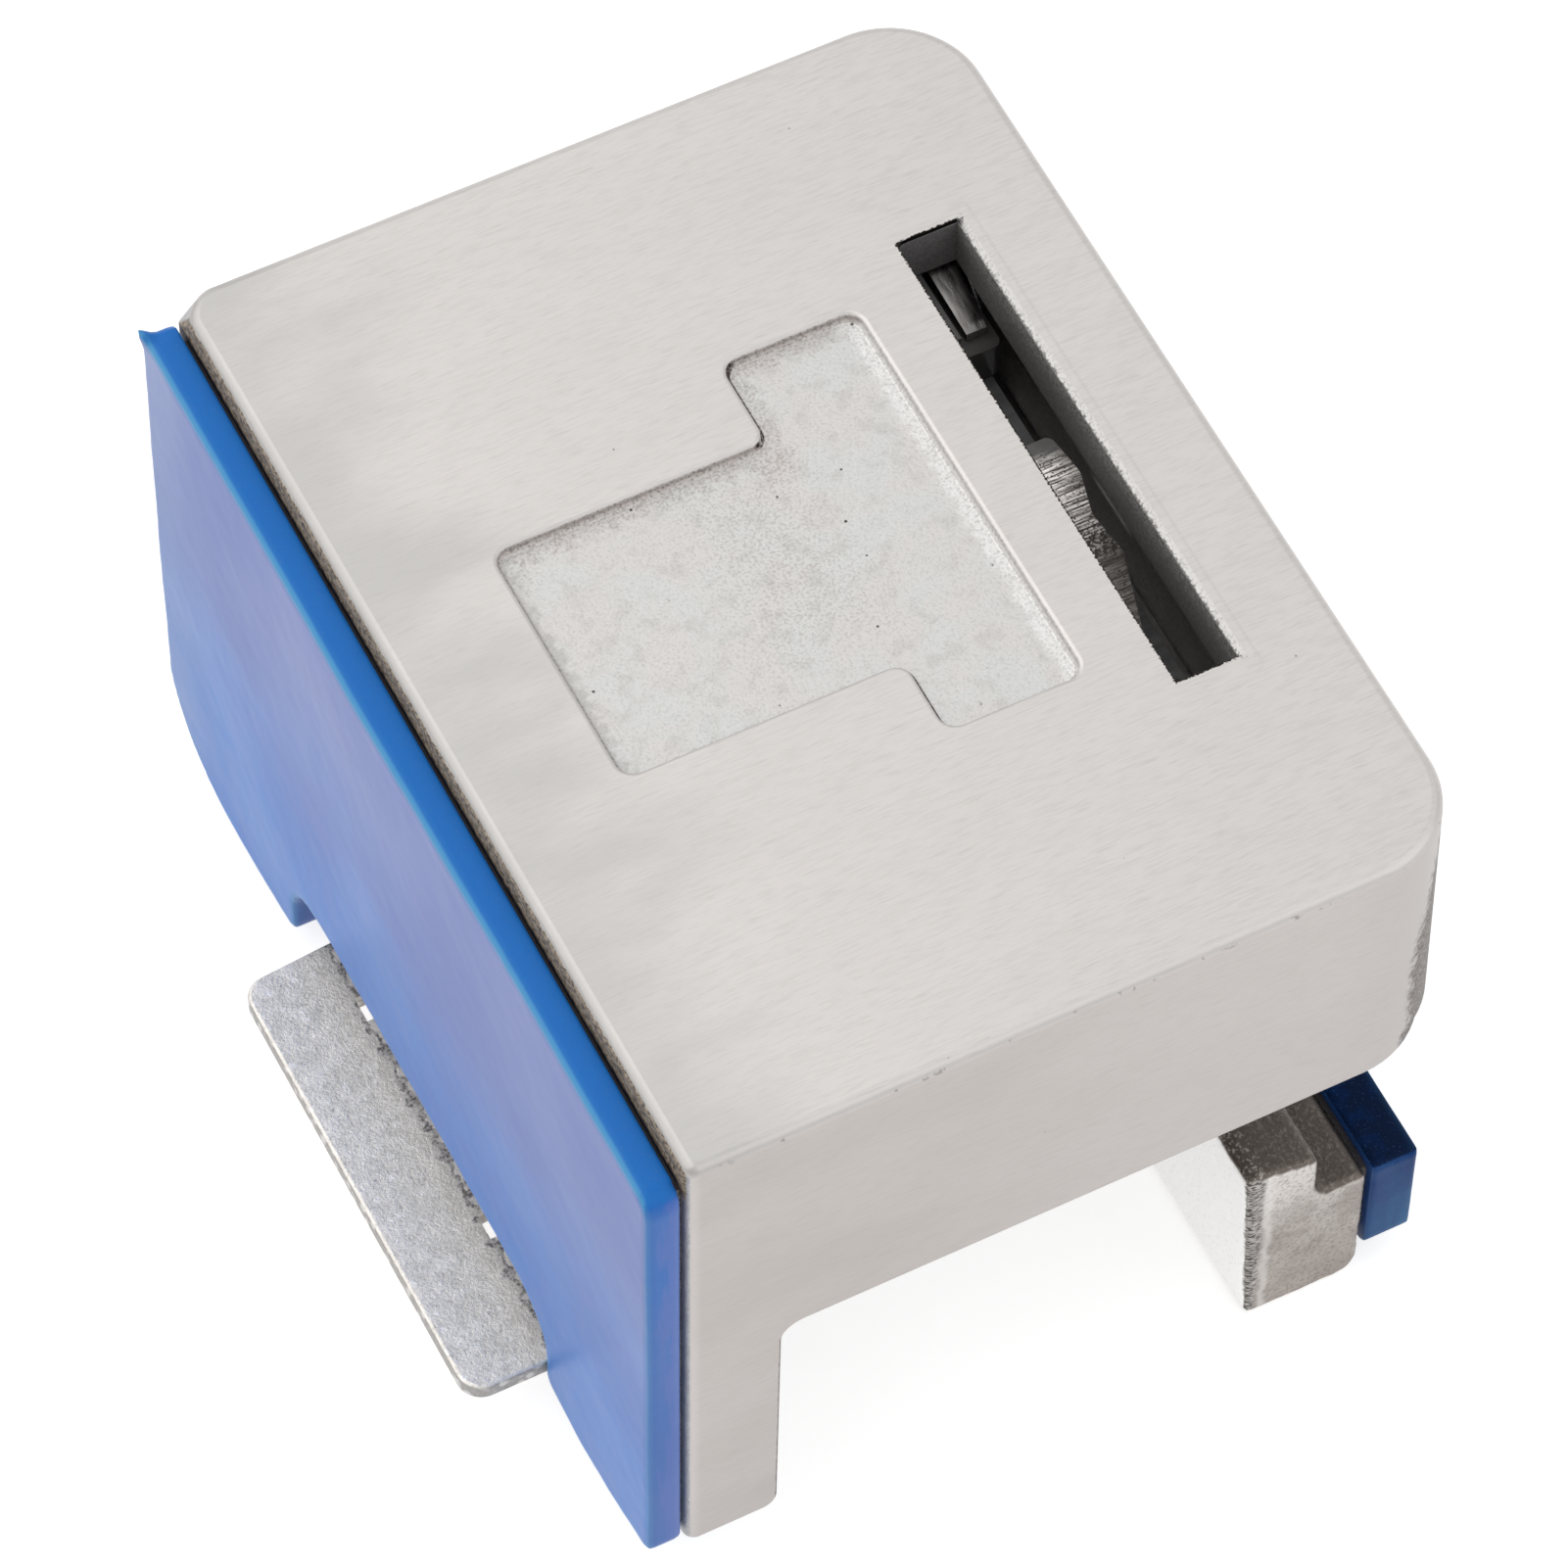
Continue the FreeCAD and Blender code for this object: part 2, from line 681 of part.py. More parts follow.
def make_follower_roller():
    """Makes the roller that runs on the cam bar's edge."""
    foot = carriage_top + slide_gap
    roller = upright(roller_r, follower_x, follower_y, foot, foot + roller_height)
    roller = roller.makeChamfer(roller_r / 8, [e for e in roller.Edges if len(e.Vertexes) == 1])
    return roller.cut(upright(axle_r + run_gap, follower_x, follower_y, foot - above, foot + roller_height + above))


def screw_tip():
    """Gives the height that the jaw screws reach in the carriage."""
    return carriage_foot + neck_seat + cap_grip


def make_jaw():
    """Makes the cast jaw: a stepped bar below the housing and a neck up into the carriage."""
    r = jaw_corner_r
    step_z = jaw_top - jaw_step_drop
    profile = [(jaw_left, jaw_top, r), (step_x, jaw_top - jaw_slope, r), (step_x, step_z, r),
               (jaw_right, step_z, r), (jaw_right, jaw_foot, jaw_foot_r), (jaw_left + jaw_draft, jaw_foot, jaw_end_r)]
    bar = bar_along(profile, 0, body_length)
    bar = bar.makeFillet(jaw_end_r, edges_of(bar, lambda p: near(p.y, 0) or near(p.y, body_length)))
    n = neck_corner_r
    neck = box_corners(jaw_left, neck_right, neck_inset, body_length - neck_inset, n, n, n, n)
    jaw = bar.fuse(slab(neck, step_z - r, carriage_foot + neck_seat)).removeSplitter()
    for y in (cap_inset, body_length - cap_inset):
        x = jaw_left + cap_offset
        jaw = jaw.cut(upright(cap_r + slide_gap, x, y, jaw_foot - above, carriage_foot + above + neck_seat))
        jaw = jaw.cut(upright(cap_head_r + slide_gap, x, y, jaw_foot - above, jaw_foot + cap_sink))
    return jaw


def make_jaw_screws():
    """Makes the two cap screws that hold the jaw to the carriage, with hexagon sockets."""
    screws = []
    x = jaw_left + cap_offset
    seat = jaw_foot + cap_sink
    for y in (cap_inset, body_length - cap_inset):
        head = upright(cap_head_r, x, y, seat - cap_head, seat)
        shank = upright(cap_r, x, y, seat, screw_tip())
        hexagon = []
        for i in range(6):
            angle = math.radians(60 * i)
            flat = cap_hex / math.sqrt(3)
            hexagon.append((x + flat * math.cos(angle), y + flat * math.sin(angle), 0))
        socket = slab(hexagon, seat - cap_head - above, seat - cap_head + cap_hex_depth)
        screws.append(head.fuse(shank).cut(socket).removeSplitter())
    return Part.Compound(screws)


def jaw_pad_corners(inset):
    """Lists the moving pad's corners (y, z), drawn in by an inset."""
    high = jaw_top - jaw_step_drop + jaw_pad_lift - inset
    low = jaw_top - jaw_step_drop + jaw_pad_lift - jaw_pad_height + inset
    first = jaw_pad_end_gap + inset
    foot_r = jaw_pad_foot_r
    top_r = jaw_pad_top_r
    return box_corners(first, body_length - first, low, high, foot_r, foot_r, top_r, top_r)


def make_moving_pad():
    """Makes the blue pad on the jaw's outer face, its outer rim slightly rounded."""
    pad = plate_across(jaw_pad_corners(0), jaw_pad_face - jaw_pad_thick, jaw_pad_face)
    return pad.makeFillet(jaw_pad_edge_r, edges_of(pad, lambda p: near(p.x, jaw_pad_face)))


def make_moving_pad_film():
    return plate_across(jaw_pad_corners(film_inset), jaw_right, jaw_right + film_thick)


pieces = {
    "housing": make_housing,
    "fixed_pad": make_fixed_pad,
    "fixed_pad_film": make_fixed_pad_film,
    "base_plate": make_base_plate,
    "base_plate_screws": make_base_plate_screws,
    "guide_pin_near": lambda: make_guide_pin(guide_inset),
    "guide_pin_far": lambda: make_guide_pin(body_length - guide_inset),
    "return_spring_near": lambda: make_return_spring(guide_inset),
    "return_spring_far": lambda: make_return_spring(body_length - guide_inset),
    "drag_spring": make_drag_spring,
    "drag_spring_rivets": make_drag_spring_rivets,
    "cam_bar": make_cam_bar,
    "carriage": make_carriage,
    "follower_axle": make_follower_axle,
    "follower_roller": make_follower_roller,
    "jaw": make_jaw,
    "jaw_screws": make_jaw_screws,
    "moving_pad": make_moving_pad,
    "moving_pad_film": make_moving_pad_film,
}

os.makedirs("parts", exist_ok=True)
for name, make in pieces.items():
    shape = make()
    shape.translate(to_origin)
    print(name, "valid" if shape.isValid() else "NOT VALID", len(shape.Solids), "solids, mm3:", round(shape.Volume, 2))
    shape.exportStep("parts/" + name + ".step")
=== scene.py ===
import math

import bmesh
import bpy
import numpy as np
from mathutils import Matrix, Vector, noise


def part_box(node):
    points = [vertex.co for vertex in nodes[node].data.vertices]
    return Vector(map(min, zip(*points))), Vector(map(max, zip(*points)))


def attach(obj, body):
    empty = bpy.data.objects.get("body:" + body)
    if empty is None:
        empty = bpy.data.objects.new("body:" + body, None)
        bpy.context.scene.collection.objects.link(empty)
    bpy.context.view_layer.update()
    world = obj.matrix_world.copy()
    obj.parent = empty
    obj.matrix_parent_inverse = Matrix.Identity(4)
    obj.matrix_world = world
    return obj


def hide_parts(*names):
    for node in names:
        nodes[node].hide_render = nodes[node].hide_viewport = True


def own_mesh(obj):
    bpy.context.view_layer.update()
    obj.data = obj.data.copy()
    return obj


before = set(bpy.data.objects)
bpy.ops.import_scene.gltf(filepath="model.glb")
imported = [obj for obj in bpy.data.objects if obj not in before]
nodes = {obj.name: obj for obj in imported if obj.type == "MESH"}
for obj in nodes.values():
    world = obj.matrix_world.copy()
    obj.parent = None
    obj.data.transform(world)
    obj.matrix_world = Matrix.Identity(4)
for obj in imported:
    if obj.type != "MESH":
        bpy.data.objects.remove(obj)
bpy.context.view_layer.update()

MM = 0.001

# Housing. A zinc casting, ground on a belt along X over its top and its two end faces, which
# leaves fine lines. The shallow pocket, the lip, the underside and the faces that the belt
# doesn't reach keep the cast skin: grey, granular and a little pitted.


def feed(tree, socket, value):
    """Links a socket to another node's result, or sets it to a value or an opaque colour."""
    if isinstance(value, bpy.types.NodeSocket):
        tree.links.new(value, socket)
    elif socket.type == "RGBA" and len(value) == 3:
        socket.default_value = (*value, 1)
    else:
        socket.default_value = value


def put(tree, kind, feeds=None, **settings):
    """Adds a node to a tree, sets it up, feeds its sockets by name or number and returns it."""
    made = tree.nodes.new(kind)
    for key, value in settings.items():
        setattr(made, key, value)
    for socket, value in (feeds or {}).items():
        feed(tree, made.inputs[socket], value)
    return made


def reckon(tree, work, *values):
    """Adds one step of arithmetic to a tree and returns its result."""
    return put(tree, "ShaderNodeMath", dict(enumerate(values)), operation=work).outputs[0]


class Finish:
    """One node material of the lock. Its methods add nodes, measured in millimetres on the object."""

    def __init__(self, name):
        self.material = bpy.data.materials.new(name)
        self.material.use_nodes = True
        self.tree = self.material.node_tree
        self.shader = self.tree.nodes["Principled BSDF"]
        place = put(self.tree, "ShaderNodeTexCoord").outputs["Object"]
        self.spot = self.stretch(place, (1 / MM, 1 / MM, 1 / MM))
        self.facing = put(self.tree, "ShaderNodeNewGeometry").outputs["Normal"]

    def stretch(self, vector, scale):
        return put(self.tree, "ShaderNodeMapping", {"Vector": vector, "Scale": scale}).outputs[0]

    def split(self, vector):
        return put(self.tree, "ShaderNodeSeparateXYZ", {0: vector}).outputs

    def calc(self, work, *values):
        return reckon(self.tree, work, *values)

    def ramp(self, value, low, high, to_low=0.0, to_high=1.0):
        """Goes smoothly from to_low to to_high while a value goes from low to high."""
        feeds = {"Value": value, "From Min": low, "From Max": high, "To Min": to_low, "To Max": to_high}
        return put(self.tree, "ShaderNodeMapRange", feeds, interpolation_type="SMOOTHSTEP").outputs[0]

    def mottle(self, size, detail=2.0, scale=None, rough=0.5):
        """Gives a cloudy noise of a size, drawn out along each axis whose scale is small."""
        where = self.stretch(self.spot, scale) if scale else self.spot
        feeds = {"Vector": where, "Scale": 1 / size, "Detail": detail, "Roughness": rough}
        return put(self.tree, "ShaderNodeTexNoise", feeds).outputs[0]

    def grains(self, size):
        """Gives how far a point lies from the nearest of many scattered grains."""
        return put(self.tree, "ShaderNodeTexVoronoi", {"Vector": self.spot, "Scale": 1 / size}).outputs["Distance"]

    def blend(self, share, first, second):
        """Mixes two colours by a share."""
        return put(self.tree, "ShaderNodeMix", {0: share, 6: first, 7: second}, data_type="RGBA").outputs[2]

    def tone(self, cloud, low, high, first, second):
        """Mixes two colours by a noise."""
        return self.blend(self.ramp(cloud, low, high), first, second)

    def layers(self, colour, *coats):
        """Lays coats on a colour, each a share and a colour of its own."""
        for share, coat in coats:
            colour = self.blend(share, colour, coat)
        return colour

    def between(self, share, first, second):
        """Mixes two values by a share."""
        return put(self.tree, "ShaderNodeMix", {0: share, 2: first, 3: second}, data_type="FLOAT").outputs[0]

    def meet(self, mask, *others):
        """Gives the share where several masks meet."""
        for other in others:
            mask = self.calc("MULTIPLY", mask, other)
        return mask

    def inverse(self, mask):
        return self.calc("SUBTRACT", 1.0, mask)

    def away(self, value, place=0.0):
        """Gives how far a value is from a place, on either side."""
        return self.calc("ABSOLUTE", self.calc("SUBTRACT", value, place) if place else value)

    def stray(self, value, cloud, by, low=0.3):
        """Lets a value stray to both sides with a noise, so that an edge drawn from it is ragged."""
        return self.calc("ADD", value, self.ramp(cloud, low, 1 - low, -by, by))

    def beyond(self, u, v, middle, half):
        """Gives how far a point lies outside an upright box, negative inside."""
        across = self.calc("SUBTRACT", self.away(u, middle[0]), half[0])
        along = self.calc("SUBTRACT", self.away(v, middle[1]), half[1])
        return self.calc("MAXIMUM", across, along)

    def relief(self, height, depth, under=None):
        """Raises the surface by a height from 0 to 1 times a depth in millimetres."""
        feeds = {"Height": height, "Distance": depth * MM, "Strength": 1.0}
        if under is not None:
            feeds["Normal"] = under
        return put(self.tree, "ShaderNodeBump", feeds).outputs[0]

    def done(self, **sockets):
        """Feeds the shader's sockets, named with _ for a space, and returns the material."""
        for key, value in sockets.items():
            feed(self.tree, self.shader.inputs[key.replace("_", " ")], value)
        return self.material


def shade(piece, material):
    """Gives a piece one material in all its slots."""
    piece.data.materials.clear()
    piece.data.materials.append(material)


def grey(value, warm=0.0):
    """A metal's linear colour, warmer or cooler than neutral."""
    return (value * (1 + warm), value, value * (1 - warm))


# sizes of the casting in millimetres: x is measured from the leg's outer face, and down from the top
top_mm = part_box("housing")[1].z / MM
film_mm = 0.25
leg_face_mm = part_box("fixed_pad")[1].x / MM + film_mm
width, half_long, corner = 37.4, 25.0, 4.5
cavity_left, cavity_roof, cavity_foot = 12.3, 3.0, 16.2
pocket_left, pocket_right = 6.4, 26.35
slot_right = 32.6

zinc = Finish("ground_casting")
x, y, z = zinc.split(zinc.spot)
nx, ny, nz = zinc.split(zinc.facing)
x = zinc.calc("SUBTRACT", x, leg_face_mm)
down = zinc.calc("SUBTRACT", top_mm, z)

# the upright walls: how far a point lies from the middle of the plan's rounded corners
over = [zinc.calc("MAXIMUM", zinc.calc("SUBTRACT", value, edge - corner), 0.0)
        for value, edge in ((x, width), (zinc.away(y), half_long))]
round_part = zinc.calc("SQRT", zinc.calc("ADD", *[zinc.calc("MULTIPLY", part, part) for part in over]))
on_wall = zinc.ramp(round_part, corner - 0.2, corner - 0.1)

# the T-shaped pocket and the slot, as distances from their outlines, negative inside
stem = zinc.beyond(x, y, (13.05, 0.12), (6.65, 6.425))
head = zinc.beyond(x, y, (23.025, 0.42), (3.325, 10.675))
pocket = zinc.calc("MINIMUM", stem, head)
slot = zinc.beyond(x, y, (31.075, 0.5), (1.525, 12.975))
grain = zinc.mottle(0.14, 4.0, None, 0.62)
lumps = zinc.mottle(0.7, 2.0)
drift = zinc.mottle(0.45, 3.0)
in_pocket = zinc.meet(zinc.ramp(pocket, 0.24, 0.12), zinc.ramp(down, 0.03, 0.1), zinc.ramp(down, 0.9, 0.8))
pocket_floor = zinc.meet(in_pocket, zinc.ramp(nz, 0.9, 0.985))
pocket_edge = zinc.meet(in_pocket, zinc.ramp(zinc.stray(pocket, drift, 0.5), -1.5, -0.4))
inner = zinc.meet(zinc.ramp(x, cavity_left - 0.1, cavity_left + 0.1), zinc.ramp(down, cavity_roof - 0.1, cavity_roof),
                  zinc.ramp(down, cavity_foot - 0.1, cavity_foot - 0.2), zinc.inverse(on_wall))
inner = zinc.calc("MAXIMUM", inner, zinc.meet(zinc.ramp(slot, 0.06, 0.02), zinc.ramp(down, 0.2, 0.32)))

# what the belt reached: the top with its rim and the two end walls, but not the side wall over the jaw and the corner
# beside it, in a wedge that widens downwards; that unground skin is painted dark there as painted shade
reach = zinc.calc("MULTIPLY", zinc.calc("SUBTRACT", zinc.calc("MINIMUM", down, 9.0), 3.2), 0.043)
reach = zinc.stray(zinc.calc("ADD", nx, reach), drift, 0.06)
unground_shaded_side = zinc.meet(zinc.ramp(reach, 0.6, 0.76), zinc.ramp(nx, 0.15, 0.3), zinc.ramp(down, 0.4, 1.4))
on_top = zinc.ramp(down, 0.44, 0.38)
upright = zinc.ramp(zinc.away(nz), 0.95, 0.75)
ground_wall = zinc.meet(on_wall, upright, zinc.ramp(nx, -0.8, -0.6), zinc.inverse(unground_shaded_side))
ground = zinc.meet(zinc.calc("MAXIMUM", on_top, ground_wall), zinc.inverse(in_pocket), zinc.inverse(inner))

# belt marks along X: hair lines, a few longer scratches, broad smears, and a rim over the leg painted greyer as
# painted shade
lines_x = zinc.mottle(0.09, 2.0, (0.075, 1.0, 1.0), 0.7)
lines_y = zinc.mottle(0.09, 2.0, (1.0, 0.075, 1.0), 0.7)
lines = zinc.between(zinc.ramp(zinc.away(nx), 0.6, 0.8), lines_x, lines_y)
scratch = zinc.mottle(0.15, 2.0, (0.12, 1.0, 1.0))
smear = zinc.mottle(5.0, 3.0, (0.45, 1.0, 1.0))
# painted shade: the rim over the leg is painted greyer, which dims its highlight
leg_rim_shade = zinc.meet(zinc.ramp(nx, -0.1, -0.5), zinc.ramp(x, 0.9, 0.7))
# painted highlight: a pale band down the leg's near left corner
leg_corner_highlight = zinc.meet(zinc.ramp(x, 0.75, 0.25), zinc.ramp(ny, -0.3, -0.7), 0.3)
# painted shade: the rounded edge between the top and the near face is painted darker, which dims its highlight
turn = zinc.meet(zinc.ramp(nz, 0.1, 0.4), zinc.ramp(nz, 0.99, 0.9), zinc.ramp(ny, -0.12, -0.35), 0.55)
nick = zinc.ramp(zinc.grains(4.2), 0.019, 0.011)
dent = zinc.meet(zinc.ramp(zinc.away(down, 0.36), 0.16, 0.06), zinc.ramp(ny, -0.3, -0.6),
                 zinc.ramp(drift, 0.38, 0.32), 0.6)
wall_colour = zinc.layers(
    zinc.tone(smear, 0.3, 0.7, (0.468, 0.434, 0.417), (0.502, 0.469, 0.453)),
    (zinc.ramp(x, 6.0, 26.0, 0.0, 0.6), (0.525, 0.497, 0.478)),
    # painted shade: the near face is painted darker towards its right corner
    (zinc.ramp(x, 30.0, 37.0, 0.0, 0.6), (0.42, 0.397, 0.382)),
    (zinc.ramp(lines, 0.3, 0.58, 0.3, 0.0), (0.34, 0.31, 0.29)),
    (leg_corner_highlight, (0.6, 0.58, 0.56)))
polished_colour = zinc.layers(
    zinc.tone(zinc.stray(x, smear, 2.5), 1.0, 9.0, (0.47, 0.458, 0.445), (0.562, 0.54, 0.523)),
    (zinc.ramp(smear, 0.35, 0.7, 0.0, 0.35), (0.59, 0.567, 0.55)),
    (zinc.ramp(scratch, 0.28, 0.44, 0.24, 0.0), (0.4, 0.38, 0.365)),
    (zinc.ramp(lines, 0.3, 0.6, 0.26, 0.0), (0.38, 0.365, 0.35)),
    (leg_rim_shade, (0.39, 0.38, 0.37)),
    (zinc.meet(upright, zinc.ramp(down, 0.25, 0.5)), wall_colour),
    (turn, (0.43, 0.412, 0.4)),
    (nick, (0.3, 0.28, 0.26)),
    (dent, (0.2, 0.185, 0.17)))

# the pocket: a granular floor, greyer along its left end and rougher in its middle, with dark pin holes; painted
# glints near its right end, and painted light and painted shade on its walls
floor_tone = zinc.mottle(2.6, 3.0)
edge_zone = zinc.stray(pocket, drift, 0.3)
core = zinc.ramp(zinc.beyond(x, y, (17.5, 1.0), (2.0, 4.0)), 2.5, -1.5)
far_end = zinc.meet(zinc.ramp(edge_zone, -1.1, -0.65), zinc.ramp(y, 4.0, 5.5),
                    zinc.ramp(x, pocket_right - 0.85, pocket_right - 1.85))
left_end = zinc.meet(zinc.ramp(edge_zone, -0.8, -0.2), zinc.ramp(x, pocket_left + 1.1, pocket_left + 0.5))
# painted glints: bright grains near the pocket's right end
painted_glints = zinc.meet(zinc.ramp(edge_zone, -1.3, -0.4), zinc.ramp(x, pocket_right - 1.25, pocket_right - 0.55))
pin_zone = zinc.calc("ADD", pocket_edge, zinc.ramp(floor_tone, 0.45, 0.7, 0.0, 0.6))
pin_holes = zinc.meet(zinc.ramp(zinc.grains(1.15), 0.085, 0.05), zinc.ramp(pin_zone, 0.3, 0.6))
floor_colour = zinc.layers(
    zinc.tone(floor_tone, 0.4, 0.6, (0.575, 0.558, 0.545), (0.568, 0.57, 0.56)),
    (zinc.ramp(zinc.mottle(1.0, 3.0), 0.5, 0.68, 0.0, 0.35), (0.44, 0.425, 0.41)),
    (zinc.ramp(grain, 0.34, 0.5, 0.2, 0.0), (0.3, 0.285, 0.275)),
    (zinc.meet(core, zinc.ramp(grain, 0.4, 0.54, 0.36, 0.0)), (0.4, 0.365, 0.345)),
    (zinc.meet(far_end, zinc.ramp(grain, 0.36, 0.56, 0.65, 0.15)), (0.36, 0.325, 0.305)),
    (zinc.meet(left_end, 0.6), (0.4, 0.39, 0.38)),
    (zinc.meet(painted_glints, zinc.ramp(grain, 0.34, 0.56, 0.15, 0.8)), (0.74, 0.735, 0.725)),
    (pin_holes, (0.09, 0.08, 0.07)))
right_rim = zinc.ramp(nx, -0.2, -0.5)
pitted = zinc.meet(zinc.ramp(grain, 0.36, 0.54, 0.7, 0.0), zinc.between(right_rim, 1.0, 0.45))
# painted shade: walls facing +X, past the pocket's middle and near its centre line, are painted near black
painted_wall_shade = zinc.meet(zinc.ramp(nx, 0.15, 0.4), zinc.ramp(x, 16.0, 17.0), zinc.ramp(zinc.away(y), 4.0, 6.0))
# painted light: walls facing -X are painted lighter, and so are walls facing the near end
rim_colour = zinc.layers(
    zinc.blend(right_rim, (0.46, 0.44, 0.425), (0.62, 0.608, 0.595)),
    (zinc.ramp(ny, -0.15, -0.4), (0.52, 0.485, 0.465)),
    (pitted, (0.22, 0.2, 0.19)),
    (painted_wall_shade, zinc.tone(grain, 0.4, 0.62, (0.035, 0.028, 0.024), (0.3, 0.26, 0.24))))
pocket_colour = zinc.blend(pocket_floor, rim_colour, floor_colour)

# brown speckled soot above the pad, then a near black painted shadow in the gap
soot_and_shadow_band = zinc.meet(zinc.ramp(nx, -0.8, -0.9), zinc.ramp(down, 2.8, 1.9), zinc.ramp(x, 0.5, 0.4),
                  zinc.ramp(zinc.stray(down, drift, 0.06, 0.35), 0.18, 0.26))
# painted shadow: the deepest part of the band, in the gap above the pad, is painted near black
painted_gap_shadow = zinc.meet(zinc.ramp(zinc.stray(down, drift, 0.12), 1.35, 1.8), zinc.ramp(y, -24.7, -23.8))
speck = zinc.mottle(0.16, 4.0, (1.0, 0.7, 1.0), 0.7)
soot_and_gap_shadow = zinc.layers(zinc.tone(speck, 0.38, 0.6, (0.1, 0.074, 0.05), (0.48, 0.385, 0.265)),
                   (painted_gap_shadow, (0.014, 0.018, 0.045)))

# the cast skin, with grain on the lip, bumps and hollows on the lip drawn as painted highlights and painted shade,
# painted shade in the crease at the lip's root, and a coarser skin, painted dark as painted shade, on the side that
# the belt missed
on_lip = zinc.meet(zinc.ramp(x, -0.2, -0.5), zinc.ramp(nz, 0.6, 0.9))
# painted highlights and painted shade: the lip's bumps and hollows are drawn in colour only
bump_highlights = zinc.meet(zinc.ramp(zinc.grains(0.75), 0.3, 0.15), zinc.ramp(drift, 0.45, 0.55), on_lip, 0.7)
hollow_shade = zinc.meet(zinc.ramp(zinc.grains(0.55), 0.25, 0.1), zinc.ramp(drift, 0.5, 0.42), on_lip, 0.5)
lip_side = zinc.meet(zinc.ramp(x, -0.5, -0.8), zinc.ramp(zinc.away(nz), 0.75, 0.45), 0.8)
# painted shade in the crease at the lip's root
root_shade = zinc.ramp(zinc.away(zinc.stray(x, lumps, 0.25), -1.15), 0.24, 0.06)
cast_colour = zinc.layers(
    zinc.tone(lumps, 0.3, 0.7, (0.68, 0.65, 0.6), (0.8, 0.765, 0.715)),
    (zinc.ramp(x, -0.6, -0.2), zinc.tone(lumps, 0.3, 0.7, (0.4, 0.395, 0.4), (0.47, 0.465, 0.47))),
    (zinc.ramp(grain, 0.3, 0.46, 0.4, 0.0), (0.3, 0.295, 0.3)),
    (bump_highlights, (0.9, 0.88, 0.85)),
    (hollow_shade, (0.34, 0.33, 0.33)),
    (lip_side, zinc.tone(zinc.grains(0.6), 0.2, 0.5, (0.62, 0.605, 0.59), (0.3, 0.285, 0.27))),
    (zinc.meet(root_shade, on_lip, zinc.ramp(grain, 0.4, 0.56, 0.9, 0.3)), (0.14, 0.13, 0.13)),
    (zinc.ramp(grain, 0.62, 0.72, 0.0, 0.8), (0.85, 0.85, 0.86)),
    # painted shade: the unground side is painted dark, and greyer where it faces straight out
    (unground_shaded_side, zinc.tone(grain, 0.36, 0.66, (0.14, 0.124, 0.114), (0.28, 0.254, 0.236))),
    (zinc.meet(unground_shaded_side, zinc.ramp(nx, 0.8, 0.97)),
     zinc.tone(grain, 0.36, 0.6, (0.33, 0.31, 0.295), (0.47, 0.45, 0.435))),
    (in_pocket, pocket_colour),
    (soot_and_shadow_band, soot_and_gap_shadow))

# inside the cavity: the walls are painted dark as painted shade, the slot's right wall is painted lit at its top and
# fades to black downwards, and one bowed painted glint lies on the cavity's right wall
inner_light = zinc.meet(zinc.ramp(zinc.stray(down, drift, 0.2), 1.7, 0.2), zinc.ramp(nx, -0.5, -0.8),
                        zinc.ramp(x, slot_right - 0.6, slot_right - 0.2))
bow = zinc.calc("MULTIPLY", zinc.calc("SUBTRACT", y, 3.2), 0.12)
bow = zinc.calc("ADD", z, zinc.calc("MULTIPLY", bow, bow))
glint = zinc.meet(zinc.ramp(zinc.away(bow, 22.75), 0.26, 0.1), zinc.ramp(zinc.away(y, 3.4), 2.2, 0.9),
                  zinc.ramp(nx, -0.6, -0.9))
cavity_painted_light = zinc.layers(
    zinc.tone(grain, 0.35, 0.6, (0.13, 0.124, 0.124), (0.19, 0.183, 0.182)),
    (glint, (0.98, 0.97, 0.96)),
    (inner_light, zinc.tone(grain, 0.36, 0.6, (0.12, 0.113, 0.107), (0.33, 0.318, 0.305))))

# the slot's right bevel is granular with a faint worn line beside it; a thin ragged dark line
# runs round its other edges
past_slot = zinc.ramp(x, slot_right - 0.05, slot_right)
bevel = zinc.meet(zinc.ramp(slot, -0.02, 0.02), zinc.ramp(zinc.stray(slot, grain, 0.06), 0.31, 0.21), past_slot,
                  zinc.ramp(down, 0.4, 0.35))
ragged = zinc.stray(slot, grain, 0.05)
arris = zinc.meet(zinc.ramp(ragged, 0.1, 0.03), past_slot, 0.75)
dark_edge_line = zinc.meet(zinc.ramp(ragged, 0.09, 0.04), zinc.inverse(past_slot), zinc.ramp(down, 0.3, 0.2))
ground = zinc.meet(ground, zinc.inverse(soot_and_shadow_band))
beside = zinc.meet(zinc.ramp(zinc.away(slot, 0.72), 0.12, 0.03), past_slot, ground,
                   zinc.ramp(grain, 0.35, 0.55, 0.05, 0.35))
colour = zinc.layers(
    zinc.blend(ground, cast_colour, polished_colour),
    (bevel, zinc.tone(grain, 0.38, 0.56, (0.44, 0.425, 0.41), (0.57, 0.56, 0.55))),
    (arris, (0.08, 0.075, 0.07)),
    (beside, (0.43, 0.42, 0.41)),
    (dark_edge_line, (0.02, 0.017, 0.015)),
    (inner, cavity_painted_light))

